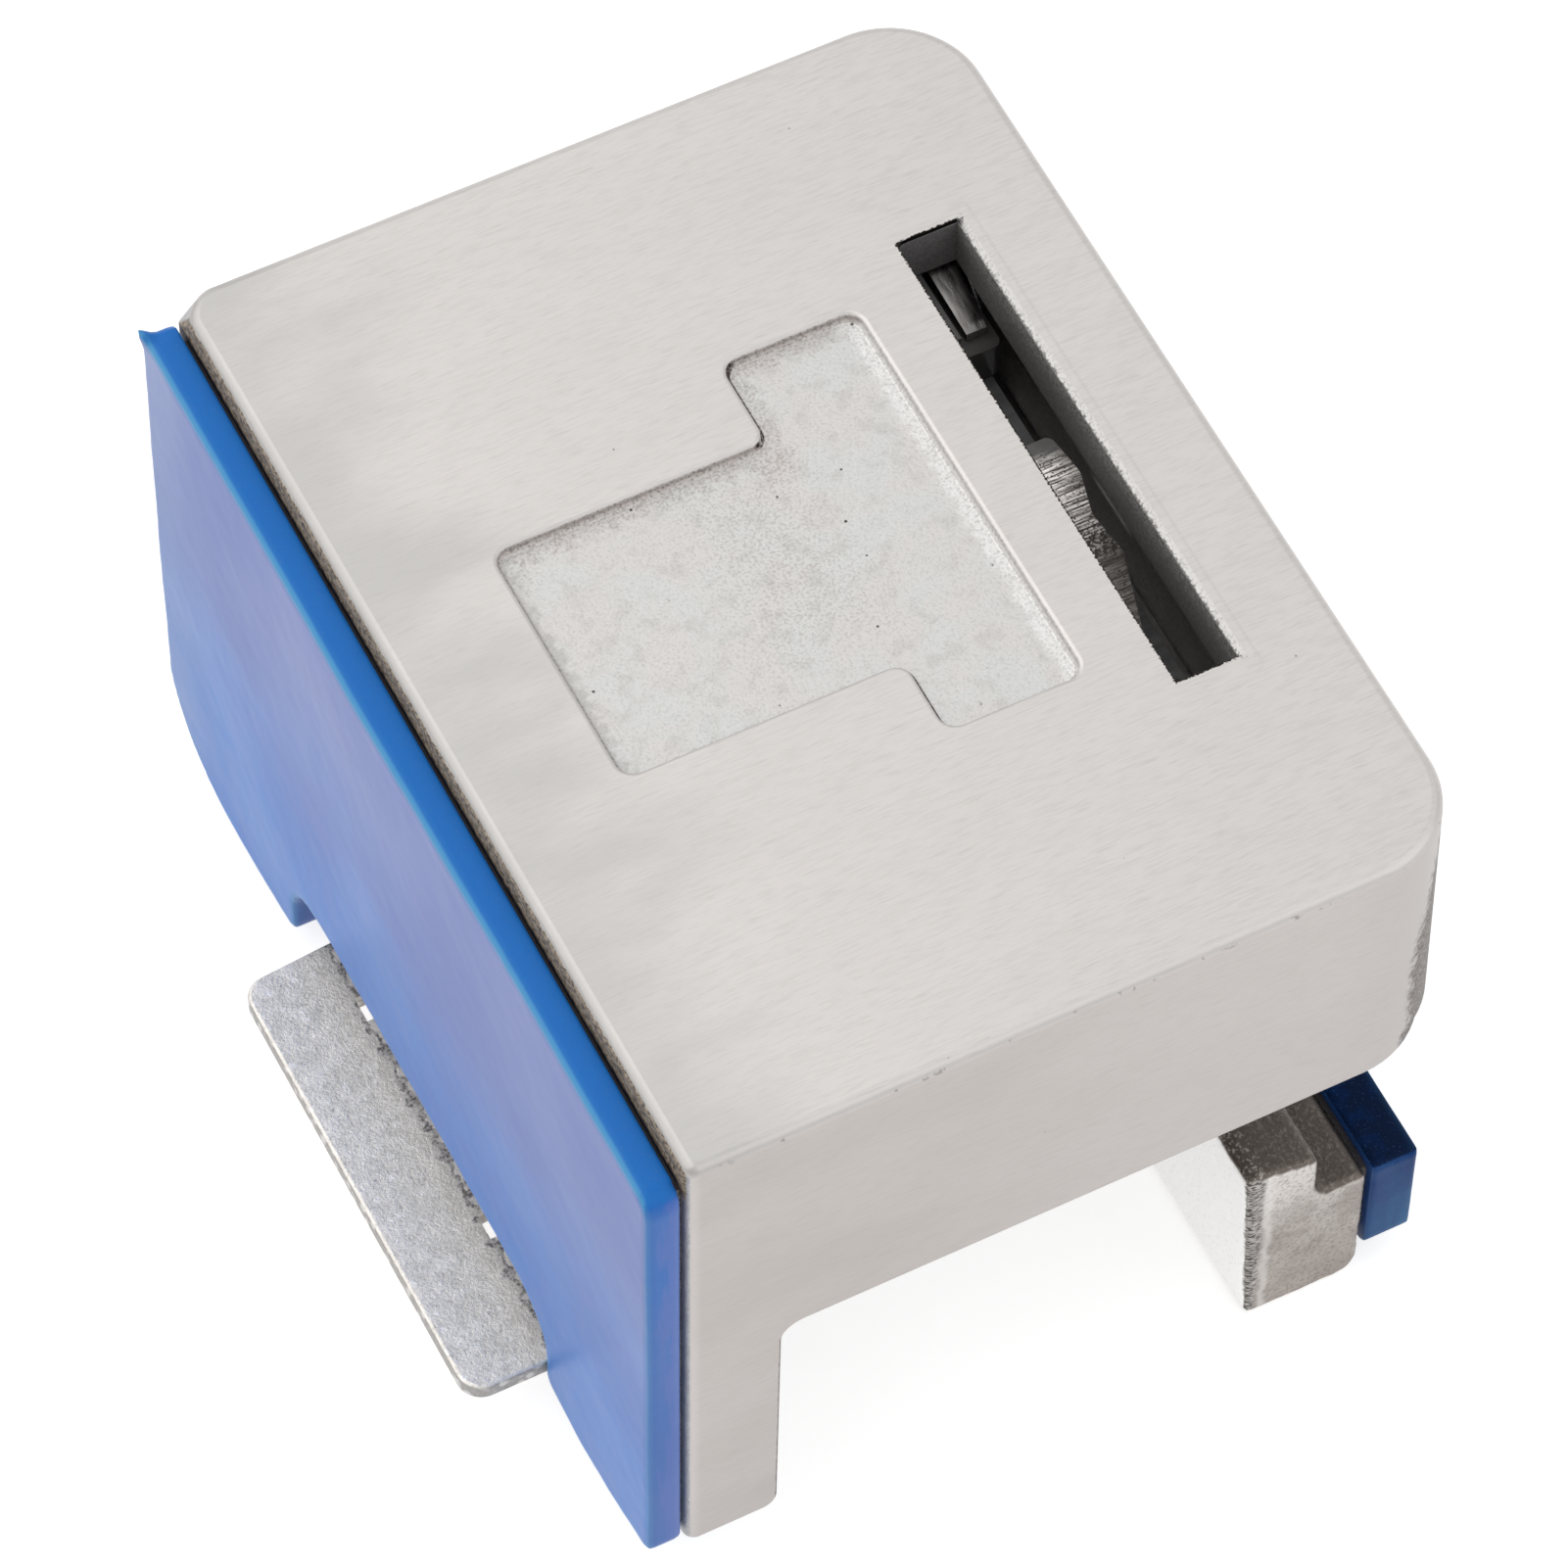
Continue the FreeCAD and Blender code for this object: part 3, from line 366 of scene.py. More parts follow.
metal = zinc.inverse(zinc.meet(zinc.calc("MAXIMUM", soot_and_shadow_band, inner), 0.95))
rough = zinc.ramp(grain, 0.3, 0.7, 0.6, 0.46)
rough = zinc.between(zinc.meet(in_pocket, zinc.inverse(pocket_floor)), rough, 0.68)
rough = zinc.between(ground, rough, zinc.ramp(lines, 0.3, 0.7, 0.36, 0.44))
rough = zinc.between(inner, rough, 0.6)
coarse = zinc.calc("MULTIPLY", lumps, zinc.between(pocket_floor, 0.55, 0.12))
shape = zinc.relief(zinc.between(ground, coarse, zinc.calc("MULTIPLY", smear, 0.2)), 0.06)
fine = zinc.calc("MULTIPLY", grain, zinc.between(pocket_floor, 0.8, 0.4))
shape = zinc.relief(zinc.between(ground, fine, zinc.calc("MULTIPLY", lines, 0.06)), 0.05, shape)
shade(nodes["housing"], zinc.done(Base_Color=colour, Metallic=metal, Roughness=rough, Normal=shape))

# Fixed pad. A moulded blue elastomer plate on the leg's outer face, die cut with a notch for the
# lip. Its face is a little wavy, its lower edge bulges where it was cut, its thin rim carries a painted
# highlight, and a curl of flash is left at the upper far corner.


def rounded(corners, step):
    """Lists the points of a closed outline with rounded corners, at most a step apart."""
    count = len(corners)
    arcs = []
    for i, (u, v, r) in enumerate(corners):
        here = Vector((u, v))
        back = (Vector(corners[i - 1][:2]) - here).normalized()
        ahead = (Vector(corners[(i + 1) % count][:2]) - here).normalized()
        half = back.angle(ahead) / 2
        first = here + back * (r / math.tan(half))
        last = here + ahead * (r / math.tan(half))
        middle = here + (back + ahead).normalized() * (r / math.sin(half))
        turn = math.pi - 2 * half
        parts = max(2, math.ceil(r * turn / step))
        start = first - middle
        sign = 1 if start.cross(last - middle) > 0 else -1
        arc = []
        for k in range(parts + 1):
            a = sign * turn * k / parts
            arc.append(middle + Vector((start.x * math.cos(a) - start.y * math.sin(a),
                                        start.x * math.sin(a) + start.y * math.cos(a))))
        arcs.append(arc)
    points = []
    for i, arc in enumerate(arcs):
        span = arcs[(i + 1) % count][0] - arc[-1]
        parts = max(1, math.ceil(span.length / step))
        points += arc + [arc[-1] + span * (k / parts) for k in range(1, parts)]
    return points


def stand(name, data):
    """Adds an object to the scene."""
    made = bpy.data.objects.new(name, data)
    bpy.context.scene.collection.objects.link(made)
    return made


def plate_mesh(name, points, x0, x1):
    """Makes a closed plate that stands along the track from an outline of (y, z) points, in metres."""
    work = bmesh.new()
    rings = [[work.verts.new((px, p.x, p.y)) for p in points] for px in (x0, x1)]
    count = len(points)
    for i in range(count):
        j = (i + 1) % count
        work.faces.new((rings[0][i], rings[0][j], rings[1][j], rings[1][i]))
    work.faces.new(rings[0][::-1])
    work.faces.new(rings[1])
    bmesh.ops.recalc_face_normals(work, faces=work.faces)
    mesh = bpy.data.meshes.new(name)
    work.to_mesh(mesh)
    work.free()
    return stand(name, mesh)


def settle(piece):
    """Turns a piece and its modifiers into a plain mesh with smooth faces."""
    graph = bpy.context.evaluated_depsgraph_get()
    mesh = bpy.data.meshes.new_from_object(piece.evaluated_get(graph))
    piece.modifiers.clear()
    old = piece.data
    piece.data = mesh
    bpy.data.meshes.remove(old)
    mesh.name = piece.name
    mesh.polygons.foreach_set("use_smooth", [True] * len(mesh.polygons))


def even(piece, voxel_mm):
    """Gives a piece an even mesh, fine enough to be shaped point by point."""
    remesh = piece.modifiers.new("even", "REMESH")
    remesh.mode = "VOXEL"
    remesh.voxel_size = voxel_mm * MM
    settle(piece)


def spots_of(mesh, kind="co"):
    """Gives a mesh's points, or their normals, as an array."""
    values = np.zeros(len(mesh.vertices) * 3)
    mesh.vertices.foreach_get(kind, values)
    return values.reshape(-1, 3)


def reshape(mesh, spots):
    """Moves a mesh's points to new spots."""
    mesh.vertices.foreach_set("co", spots.ravel())
    mesh.update()


def edge_distance(points, outline):
    """Measures how far each (y, z) point lies from a closed outline."""
    a = np.array([tuple(p) for p in outline])
    best = np.full(len(points), 1.0)
    for p, q in zip(a, np.roll(a, -1, axis=0)):
        span = q - p
        t = np.clip(((points - p) @ span) / (span @ span), 0, 1)
        best = np.minimum(best, np.linalg.norm(points - p - t[:, None] * span, axis=1))
    return best


def smooth_step(value, low, high):
    t = np.clip((value - low) / (high - low), 0, 1)
    return t * t * (3 - 2 * t)


def mould(piece, outline, face_x, inner_x, waves, seed):
    """Gives a remeshed pad a wavy face and a value of nearness to the rim, which falls off softly."""
    mesh = piece.data
    spots = spots_of(mesh)
    from_edge = edge_distance(spots[:, 1:], outline)
    from_face = np.abs(spots[:, 0] - face_x)
    rim = 1 - smooth_step(np.hypot(from_edge, from_face), 0.1 * MM, 0.36 * MM)
    outward = math.copysign(1, face_x - inner_x)
    share = np.clip(np.abs(spots[:, 0] - inner_x) / abs(face_x - inner_x), 0, 1)
    wave_length, ripple_length = 7 * MM, 1.1 * MM
    for i, spot in enumerate(spots):
        place = Vector((0, spot[1], spot[2])) / wave_length + Vector((seed, 0, 0))
        fine = Vector(spot) / ripple_length + Vector((0, seed, 0))
        swell = waves * (noise.noise(place) - 0.5) + 0.25 * waves * noise.noise(fine)
        spot[0] += outward * share[i] * swell * MM
    reshape(mesh, spots)
    value = mesh.attributes.new("rim", "FLOAT", "POINT")
    value.data.foreach_set("value", rim.astype(np.float32))


pad_low, pad_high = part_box("fixed_pad")
small_r, far_r, near_r = 0.6 * MM, 5.5 * MM, 1.0 * MM
foot = pad_low.z
brow = 6.7 * MM
notch_near, notch_far = -14.55 * MM, 11.6 * MM


def pad_plan(inset):
    """Lists the fixed pad's outline with its notch, set in by a distance."""
    left, right = pad_low.y + inset, pad_high.y - inset
    low, high = foot + inset, pad_high.z - inset
    near, far = notch_near - inset, notch_far + inset
    return rounded([(left, low, small_r), (near, low, small_r), (near, brow + inset, 2.8 * MM),
                    (far, brow + inset, 3.0 * MM), (far, low, small_r), (right, low, far_r - inset),
                    (right, high, small_r), (left, high, near_r - inset)], 0.4 * MM)


pad_outline = pad_plan(0.0)
fixed_pad = plate_mesh("fixed_pad_elastomer", pad_outline, pad_low.x, pad_high.x)
even(fixed_pad, 0.24)
mould(fixed_pad, pad_outline, pad_low.x, pad_high.x, 0.07, 3.1)

# the cut lower edge lifts at the near corner and bulges beside the notch
spots = spots_of(fixed_pad.data)
along = spots[:, 1] / MM
low_down = smooth_step(-spots[:, 2] / MM, -6.0, -2.2)
lift = 0.55 * (1 - smooth_step(along, -25, -21))
for bulge, middle, spread in ((0.4, -18, 2.6), (0.45, 17, 4.5)):
    lift -= bulge * np.exp(-((along - middle) / spread) ** 2)
spots[:, 2] += low_down * lift * MM
curl_spot = np.array([pad_low.x, pad_high.y - 0.1 * MM, pad_high.z - 0.1 * MM])
curl_reach, curl_move = 0.75 * MM, np.array([-0.4, 0.05, 1.1])
curl = np.clip(1 - np.linalg.norm(spots - curl_spot, axis=1) / curl_reach, 0, 1) ** 1.2
spots += curl[:, None] * curl_move * MM
reshape(fixed_pad.data, spots)


def elastomer(name, bloom, body, low, top, edge, heights, rim_highlight_share, outer_mm, shine):
    """Makes a blue elastomer: a bloom on its outer face, painted paler towards its far end as a painted reflection, a
    body that pales downwards, and a painted highlight along its thin rim.
    """
    finish = Finish(name)
    x, y, z = finish.split(finish.spot)
    nx, ny, nz = finish.split(finish.facing)
    haze = finish.mottle(8.0, 2.0, (1.0, 0.7, 1.0))
    patch = finish.ramp(finish.mottle(2.2, 2.0), 0.4, 0.7)
    specks = finish.mottle(0.12, 2.0)
    rim = put(finish.tree, "ShaderNodeAttribute", attribute_name="rim").outputs["Fac"]
    draw = finish.mottle(0.5, 3.0, (1.0, 1.0, 0.12))
    sunk = finish.stray(finish.calc("SUBTRACT", outer_mm, finish.away(x)), draw, -0.5)
    mottled_top = finish.blend(finish.ramp(finish.mottle(0.8, 3.0), 0.42, 0.66, 0.0, 0.3), top, body)
    wander = finish.stray(z, haze, 4.5, 0.25)
    outer = finish.ramp(finish.away(nx), 0.75, 0.95)
    face = finish.layers(
        finish.tone(wander, heights[0] + 3.0, heights[1] - 4.0, bloom[1], bloom[0]),
        (finish.meet(patch, 0.22), bloom[2]),
        # painted reflection: the outer face is painted paler towards its far end
        (finish.ramp(y, 18.0, 24.6, 0.0, 0.4), (0.22, 0.34, 0.62)))
    colour = finish.layers(
        finish.tone(z, heights[0], heights[1], low, body),
        (finish.meet(patch, 0.35), low),
        (finish.meet(finish.ramp(ny, -0.5, -0.8), finish.ramp(sunk, 0.5, 1.3, 0.0, 0.5)), bloom[2]),
        (finish.ramp(nz, 0.4, 0.8), mottled_top),
        (outer, face),
        (finish.ramp(specks, 0.6, 0.72, 0.0, 0.25), (0.09, 0.2, 0.5)),
        # painted highlight: the thin rim is painted paler, less so on the near end
        (finish.meet(rim, finish.ramp(ny, -0.3, -0.7, rim_highlight_share, rim_highlight_share * 0.35)), edge))
    shape = finish.relief(finish.mottle(1.6, 3.0), 0.03)
    shape = finish.relief(specks, 0.005, shape)
    rough = finish.ramp(haze, 0.3, 0.7, 0.36, 0.44)
    gloss = finish.between(outer, finish.ramp(nz, 0.3, 0.7, shine, shine * 0.6), 0.5)
    return finish.done(Base_Color=colour, Roughness=rough, Normal=shape, IOR=1.52, Specular_IOR_Level=gloss)


blue_elastomer = elastomer(
    "blue_elastomer", bloom=((0.14, 0.21, 0.56), (0.035, 0.21, 0.68), (0.12, 0.19, 0.6)), body=(0.014, 0.17, 0.62),
    low=(0.05, 0.17, 0.56), top=(0.012, 0.18, 0.62), edge=(0.11, 0.42, 0.72), heights=(4.0, 30.0), rim_highlight_share=0.85,
    outer_mm=-pad_low.x / MM, shine=0.35)
shade(fixed_pad, blue_elastomer)
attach(fixed_pad, "lock_body")
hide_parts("fixed_pad")

# Fixed pad's film. Double-sided adhesive tape between the leg and the pad, set back from the
# pad's edge all round, so that it shows only as a thin grey-brown line with dust in it.


def film(name, outline, x0, x1, seed):
    """Makes a thin film whose cut edge wanders a little."""
    ragged = []
    wave_length, sway_mm = 0.9 * MM, 0.06
    for p in outline:
        drift = Vector((noise.noise(Vector((p.x, p.y, seed)) / wave_length),
                        noise.noise(Vector((p.y, p.x, seed + 9)) / wave_length)))
        ragged.append(p + drift * sway_mm * MM)
    return plate_mesh(name, ragged, x0, x1)


film_low, film_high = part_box("fixed_pad_film")
set_back = 0.6 * MM
fixed_film = film("fixed_pad_tape", pad_plan(set_back), film_low.x, film_high.x, 1.0)
tape = Finish("adhesive_tape")
dust = tape.mottle(0.2, 3.0)
# painted shade: the tape's upward faces, deep in the crevice beside the pad, are painted near black
crevice_shade = tape.ramp(tape.split(tape.facing)[2], 0.3, 0.6)
colour = tape.layers(tape.tone(dust, 0.35, 0.65, (0.06, 0.05, 0.042), (0.32, 0.28, 0.23)),
                     (crevice_shade, (0.05, 0.045, 0.05)))
adhesive_tape = tape.done(Base_Color=colour, Roughness=0.7, Normal=tape.relief(dust, 0.04))
shade(fixed_film, adhesive_tape)
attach(fixed_film, "lock_body")
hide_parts("fixed_pad_film")

# Base plate and its screws. A stamped, zinc-plated steel plate closes the housing from below.
# Two countersunk M2.5 screws with cross recesses hold it to the casting.

plated = Finish("zinc_plated_sheet")
spangle = plated.grains(2.2)
rolled = plated.mottle(0.2, 3.0, (1.0, 0.04, 1.0))
zinc_plated = plated.done(Base_Color=plated.tone(spangle, 0.0, 0.7, grey(0.55, -0.01), grey(0.68, 0.01)), Metallic=1.0,
                          Roughness=plated.ramp(rolled, 0.3, 0.7, 0.28, 0.42), Normal=plated.relief(rolled, 0.006))
shade(nodes["base_plate"], zinc_plated)


class Pattern:
    """A geometry tree with named sizes, for a shape that repeats. Its methods add nodes."""

    def __init__(self, name, sizes):
        self.tree = bpy.data.node_groups.new(name, "GeometryNodeTree")
        for size, kind in {**sizes, "Finish": "Material"}.items():
            self.tree.interface.new_socket(name=size, in_out="INPUT", socket_type="NodeSocket" + kind)
        self.tree.interface.new_socket(name="Geometry", in_out="OUTPUT", socket_type="NodeSocketGeometry")
        self.size = self.tree.nodes.new("NodeGroupInput").outputs

    def add(self, kind, feeds=None, **settings):
        return put(self.tree, "GeometryNode" + kind, feeds, **settings).outputs[0]

    def calc(self, work, *values):
        return reckon(self.tree, work, *values)

    def point(self, px, py, pz):
        return put(self.tree, "ShaderNodeCombineXYZ", {0: px, 1: py, 2: pz}).outputs[0]

    def spot(self):
        """Gives the three coordinates of each point of a shape."""
        return put(self.tree, "ShaderNodeSeparateXYZ", {0: self.add("InputPosition")}).outputs

    def rod(self, sides, radius, length):
        return self.add("MeshCylinder", {"Vertices": sides, "Radius": radius, "Depth": length})

    def raised(self, geometry, height):
        return self.add("Transform", {0: geometry, "Translation": self.point(0.0, 0.0, height)})

    def joined(self, first, second):
        """Makes one closed shape of two."""
        whole = put(self.tree, "GeometryNodeMeshBoolean", {1: first}, operation="UNION")
        self.tree.links.new(second, whole.inputs[1])
        return whole.outputs[0]

    def cut(self, solid, *tools):
        """Cuts tools out of a closed shape."""
        made = put(self.tree, "GeometryNodeMeshBoolean", {0: solid}, operation="DIFFERENCE")
        for tool in tools:
            self.tree.links.new(tool, made.inputs[1])
        return made.outputs[0]

    def pair(self, geometry):
        """Stands a shape at two places along Y, a spacing apart about the middle point."""
        half = self.calc("MULTIPLY", self.size["Spacing"], -0.5)
        row = self.add("MeshLine", {"Count": 2, "Start Location": self.point(0.0, half, 0.0),
                                    "Offset": self.point(0.0, self.size["Spacing"], 0.0)}, mode="OFFSET")
        stood = self.add("InstanceOnPoints", {"Points": row, "Instance": geometry})
        return self.add("Transform", {0: stood, "Translation": self.size["Middle"]})

    def close(self, geometry, smooth=True):
        """Ends the tree: instances made real, faces smooth or flat, and the finish set."""
        real = self.add("RealizeInstances", {0: geometry})
        smoothed = self.add("SetShadeSmooth", {0: real, "Shade Smooth": smooth})
        coated = self.add("SetMaterial", {0: smoothed, "Material": self.size["Finish"]})
        self.tree.links.new(coated, self.tree.nodes.new("NodeGroupOutput").inputs[0])

    def grow(self, name, sizes, material):
        """Runs the tree once with its sizes and keeps the result as a plain mesh."""
        piece = stand(name, bpy.data.meshes.new(name))
        modifier = piece.modifiers.new("shape", "NODES")
        modifier.node_group = self.tree
        values = {**sizes, "Finish": material}
        for item in self.tree.interface.items_tree:
            if item.in_out == "INPUT":
                modifier[item.identifier] = values[item.name]
        piece.update_tag()
        settle(piece)
        return piece


screw = Pattern("countersunk_screw", {"Middle": "Vector", "Spacing": "Float", "Head radius": "Float",
                                      "Shank radius": "Float", "Length": "Float", "Slot width": "Float"})
size = screw.size
sink = screw.calc("SUBTRACT", size["Head radius"], size["Shank radius"])
head = screw.add("MeshCone", {"Vertices": 48, "Radius Top": size["Shank radius"], "Radius Bottom": size["Head radius"],
                              "Depth": sink})
shank = screw.raised(screw.rod(32, size["Shank radius"], size["Length"]), screw.calc("MULTIPLY", size["Length"], 0.5))
wide = screw.calc("MULTIPLY", size["Shank radius"], 2.0)
deep = screw.calc("MULTIPLY", sink, 1.5)
slots = [screw.add("MeshCube", {"Size": screw.point(px, py, deep)})
         for px, py in ((wide, size["Slot width"]), (size["Slot width"], wide))]
screw.close(screw.pair(screw.cut(screw.joined(head, shank), *slots)), False)

low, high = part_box("base_plate_screws")
screw_coat = Finish("zinc_plated_screws")
worn = screw_coat.mottle(0.3, 3.0)
plated_screw = screw_coat.done(
    Base_Color=screw_coat.tone(worn, 0.4, 0.7, grey(0.6), grey(0.5, 0.05)), Metallic=1.0,
    Roughness=screw_coat.ramp(worn, 0.3, 0.7, 0.25, 0.4), Normal=screw_coat.relief(worn, 0.01))
head_r = (high.x - low.x) / 2
plate_screws = screw.grow("countersunk_screws", {
    "Middle": ((low.x + high.x) / 2, 0, low.z), "Spacing": high.y - low.y - 2 * head_r, "Head radius": head_r,
    "Shank radius": 1.25 * MM, "Length": high.z - low.z, "Slot width": 0.6 * MM}, plated_screw)
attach(plate_screws, "lock_body")
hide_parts("base_plate_screws")

# Guide pins and return springs. Two ground steel pins are pressed in through the side wall, and
# the carriage runs on them. A coil spring of drawn wire with closed ends sits on each, between
# the carriage's pocket and the wall, and shortens as the jaw goes out.

ground_pin = Finish("ground_pin")
rings = ground_pin.mottle(0.08, 2.0, (1.0, 0.05, 0.05))
ground_steel = ground_pin.done(Base_Color=grey(0.62), Metallic=1.0, Normal=ground_pin.relief(rings, 0.003),
                               Roughness=ground_pin.ramp(rings, 0.3, 0.7, 0.16, 0.3))
for name in ("guide_pin_near", "guide_pin_far"):
    shade(nodes[name], ground_steel)

coil = Pattern("return_spring", {"Start": "Vector", "Length": "Float", "Mean radius": "Float", "Wire": "Float",
                                 "Turns": "Float"})
size = coil.size
line = coil.add("CurvePrimitiveLine", {"Start": (0, 0, 0), "End": (1, 0, 0)})
line = coil.add("ResampleCurve", {"Curve": line, "Count": 260})
share = put(coil.tree, "GeometryNodeSplineParameter").outputs["Factor"]
turn = coil.calc("MULTIPLY", share, size["Turns"])

# the first and last turns lie close, a wire apart, and the pitch of the rest fills the length
open_turns = coil.calc("SUBTRACT", size["Turns"], 2.0)
open_length = coil.calc("SUBTRACT", size["Length"], coil.calc("MULTIPLY", size["Wire"], 3.0))
pitch = coil.calc("DIVIDE", open_length, open_turns)
first = coil.calc("MULTIPLY", coil.calc("MINIMUM", turn, 1.0), size["Wire"])
opened = coil.calc("MINIMUM", coil.calc("SUBTRACT", turn, 1.0), open_turns)
opened = coil.calc("MULTIPLY", coil.calc("MAXIMUM", opened, 0.0), pitch)
last = coil.calc("SUBTRACT", turn, coil.calc("ADD", open_turns, 1.0))
last = coil.calc("MULTIPLY", coil.calc("MAXIMUM", last, 0.0), size["Wire"])
half_wire = coil.calc("MULTIPLY", size["Wire"], 0.5)
run = coil.calc("ADD", coil.calc("ADD", coil.calc("ADD", first, opened), last), half_wire)
angle = coil.calc("MULTIPLY", turn, 2 * math.pi)
ring = [coil.calc("MULTIPLY", coil.calc(work, angle), size["Mean radius"]) for work in ("COSINE", "SINE")]
helix = coil.add("SetPosition", {0: line, "Position": coil.point(run, *ring)})
wire = coil.add("CurvePrimitiveCircle", {"Resolution": 12, "Radius": half_wire})
wound = coil.add("CurveToMesh", {"Curve": helix, "Profile Curve": wire, "Fill Caps": True})
coil.close(coil.add("Transform", {0: wound, "Translation": size["Start"]}))

drawn = Finish("drawn_wire")
draw = drawn.mottle(0.15, 3.0)
spring_steel = drawn.done(Base_Color=drawn.blend(draw, grey(0.4, 0.01), grey(0.55)), Metallic=1.0,
                          Roughness=drawn.ramp(draw, 0.3, 0.7, 0.22, 0.38), Normal=drawn.relief(draw, 0.008))
for name in ("return_spring_near", "return_spring_far"):
    low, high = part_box(name)
    spring = coil.grow(name + "_coil", {
        "Start": (low.x, (low.y + high.y) / 2, (low.z + high.z) / 2), "Length": high.x - low.x,
        "Mean radius": 2.15 * MM, "Wire": 0.55 * MM, "Turns": 8.0}, spring_steel)
    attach(spring, "lock_body")
    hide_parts(name)
    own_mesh(spring)

# Cam bar. A milled steel bar that slides below the slot. The cutter's marks cross its upper face,
# which is pocked and painted darker towards the near end as painted shade; its far half is dark and less metallic.

milled = Finish("milled_bar")
y = milled.split(milled.spot)[1]
marks = milled.mottle(0.13, 3.0, (0.06, 1.0, 0.06), 0.75)
bands = milled.mottle(0.6, 2.0, (0.2, 1.0, 0.2))
pocked = milled.meet(milled.ramp(y, -1.2, -2.2), milled.ramp(y, -4.2, -3.2),
                     milled.ramp(milled.mottle(0.16, 3.0), 0.52, 0.44))
far_half_dark = milled.ramp(y, 1.7, 2.9)
smoky = milled.layers(milled.tone(milled.mottle(1.1, 3.0), 0.45, 0.7, (0.12, 0.114, 0.113), (0.23, 0.222, 0.22)),
                      (milled.ramp(y, 8.9, 9.5), (0.1, 0.094, 0.092)))
colour = milled.layers(
    milled.tone(marks, 0.38, 0.6, (0.05, 0.045, 0.041), (0.9, 0.855, 0.825)),
    (milled.ramp(bands, 0.35, 0.6, 0.5, 0.0), (0.12, 0.108, 0.098)),
    (pocked, (0.03, 0.026, 0.023)),
    (milled.ramp(milled.mottle(0.12, 3.0), 0.44, 0.36), (0.04, 0.035, 0.03)),
    # painted shade: the upper face darkens towards the near end
    (milled.ramp(y, 0.0, -4.2, 0.0, 0.88), (0.045, 0.04, 0.036)),
    (far_half_dark, smoky))
bare_metal = milled.inverse(milled.meet(far_half_dark, 0.9))
shade(nodes["cam_bar"], milled.done(Base_Color=colour, Metallic=bare_metal, Normal=milled.relief(marks, 0.03),
                                    Roughness=milled.ramp(marks, 0.3, 0.7, 0.45, 0.28)))

# Drag spring and its rivets. A blued strip under the roof at the slot's far end, bent down so
# that its tip rubs on the bar. Two small steel rivets hold it.

strip = Finish("spring_strip")
x, y, _ = strip.split(strip.spot)
low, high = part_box("drag_spring")
left_mm, tip_mm = low.x / MM, low.y / MM
sheen = strip.mottle(0.35, 3.0, (1.0, 0.2, 1.0))
across = strip.stray(x, sheen, 0.12)
# painted highlight: a bright streak along the strip, short of its tip
highlight_streak = strip.meet(strip.ramp(across, left_mm + 1.05, left_mm + 0.6), strip.ramp(y, tip_mm + 4.6, tip_mm + 1.2), 0.85)
strip_side = strip.ramp(strip.away(strip.split(strip.facing)[0]), 0.4, 0.7)
blued_with_highlight = strip.layers(
    strip.tone(sheen, 0.35, 0.65, (0.1, 0.094, 0.092), (0.2, 0.19, 0.187)),
    (highlight_streak, (0.5, 0.475, 0.46)),
    (strip.ramp(across, left_mm + 1.1, left_mm + 1.5, 0.0, 0.7), (0.05, 0.047, 0.046)),
    (strip.ramp(y, tip_mm + 0.5, tip_mm + 0.2), (0.5, 0.48, 0.47)),
    (strip_side, (0.03, 0.028, 0.027)))
shade(nodes["drag_spring"], strip.done(Base_Color=blued_with_highlight, Metallic=1.0, Normal=strip.relief(sheen, 0.02),
                                       Roughness=strip.ramp(sheen, 0.3, 0.7, 0.24, 0.36)))

rivet = Pattern("strip_rivet", {"Middle": "Vector", "Spacing": "Float", "Head radius": "Float",
                                "Shank radius": "Float", "Length": "Float", "Head height": "Float"})
size = rivet.size
ball = rivet.add("MeshUVSphere", {"Segments": 32, "Rings": 16, "Radius": size["Head radius"]})
flattened = rivet.calc("DIVIDE", size["Head height"], size["Head radius"])
dome = rivet.add("Transform", {0: ball, "Scale": rivet.point(1.0, 1.0, flattened)})
px, py, pz = rivet.spot()
dome = rivet.add("SetPosition", {0: dome, "Position": rivet.point(px, py, rivet.calc("MINIMUM", pz, 0.0))})
shank = rivet.raised(rivet.rod(24, size["Shank radius"], size["Length"]), rivet.calc("MULTIPLY", size["Length"], 0.5))
rivet.close(rivet.pair(rivet.raised(rivet.joined(dome, shank), size["Head height"])))
low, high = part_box("drag_spring_rivets")
head_r = (high.x - low.x) / 2
rivets = rivet.grow("strip_rivets", {
    "Middle": ((low.x + high.x) / 2, (low.y + high.y) / 2, low.z), "Spacing": high.y - low.y - 2 * head_r,
    "Head radius": head_r, "Shank radius": 0.35 * MM, "Length": high.z - low.z - 0.35 * MM,
    "Head height": 0.35 * MM}, plated_screw)
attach(rivets, "lock_body")
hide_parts("drag_spring_rivets")

# Carriage, follower axle and roller. The carriage is a milled block, blackened and oiled, on the
# guide pins; the axle and the roller on it are ground bright.

block = Finish("milled_carriage")
swirl = block.mottle(0.3, 3.0, (0.1, 1.0, 1.0))
colour = block.tone(swirl, 0.3, 0.7, (0.19, 0.187, 0.19), (0.27, 0.266, 0.27))
milled_block = block.done(Base_Color=colour, Metallic=0.0, Roughness=block.ramp(swirl, 0.3, 0.7, 0.3, 0.45),
                          Normal=block.relief(swirl, 0.02))
shade(nodes["carriage"], milled_block)
for name in ("follower_axle", "follower_roller"):
    shade(nodes[name], ground_steel)

# Jaw. A casting left as it comes from the die: granular all over, with chipped, uneven edges
# where the flash was broken off. Its inner side, towards the leg, is painted bright as a painted reflection, its top
# faces are painted dark as the housing's shadow, and its near left edge carries painted shade and a painted highlight.

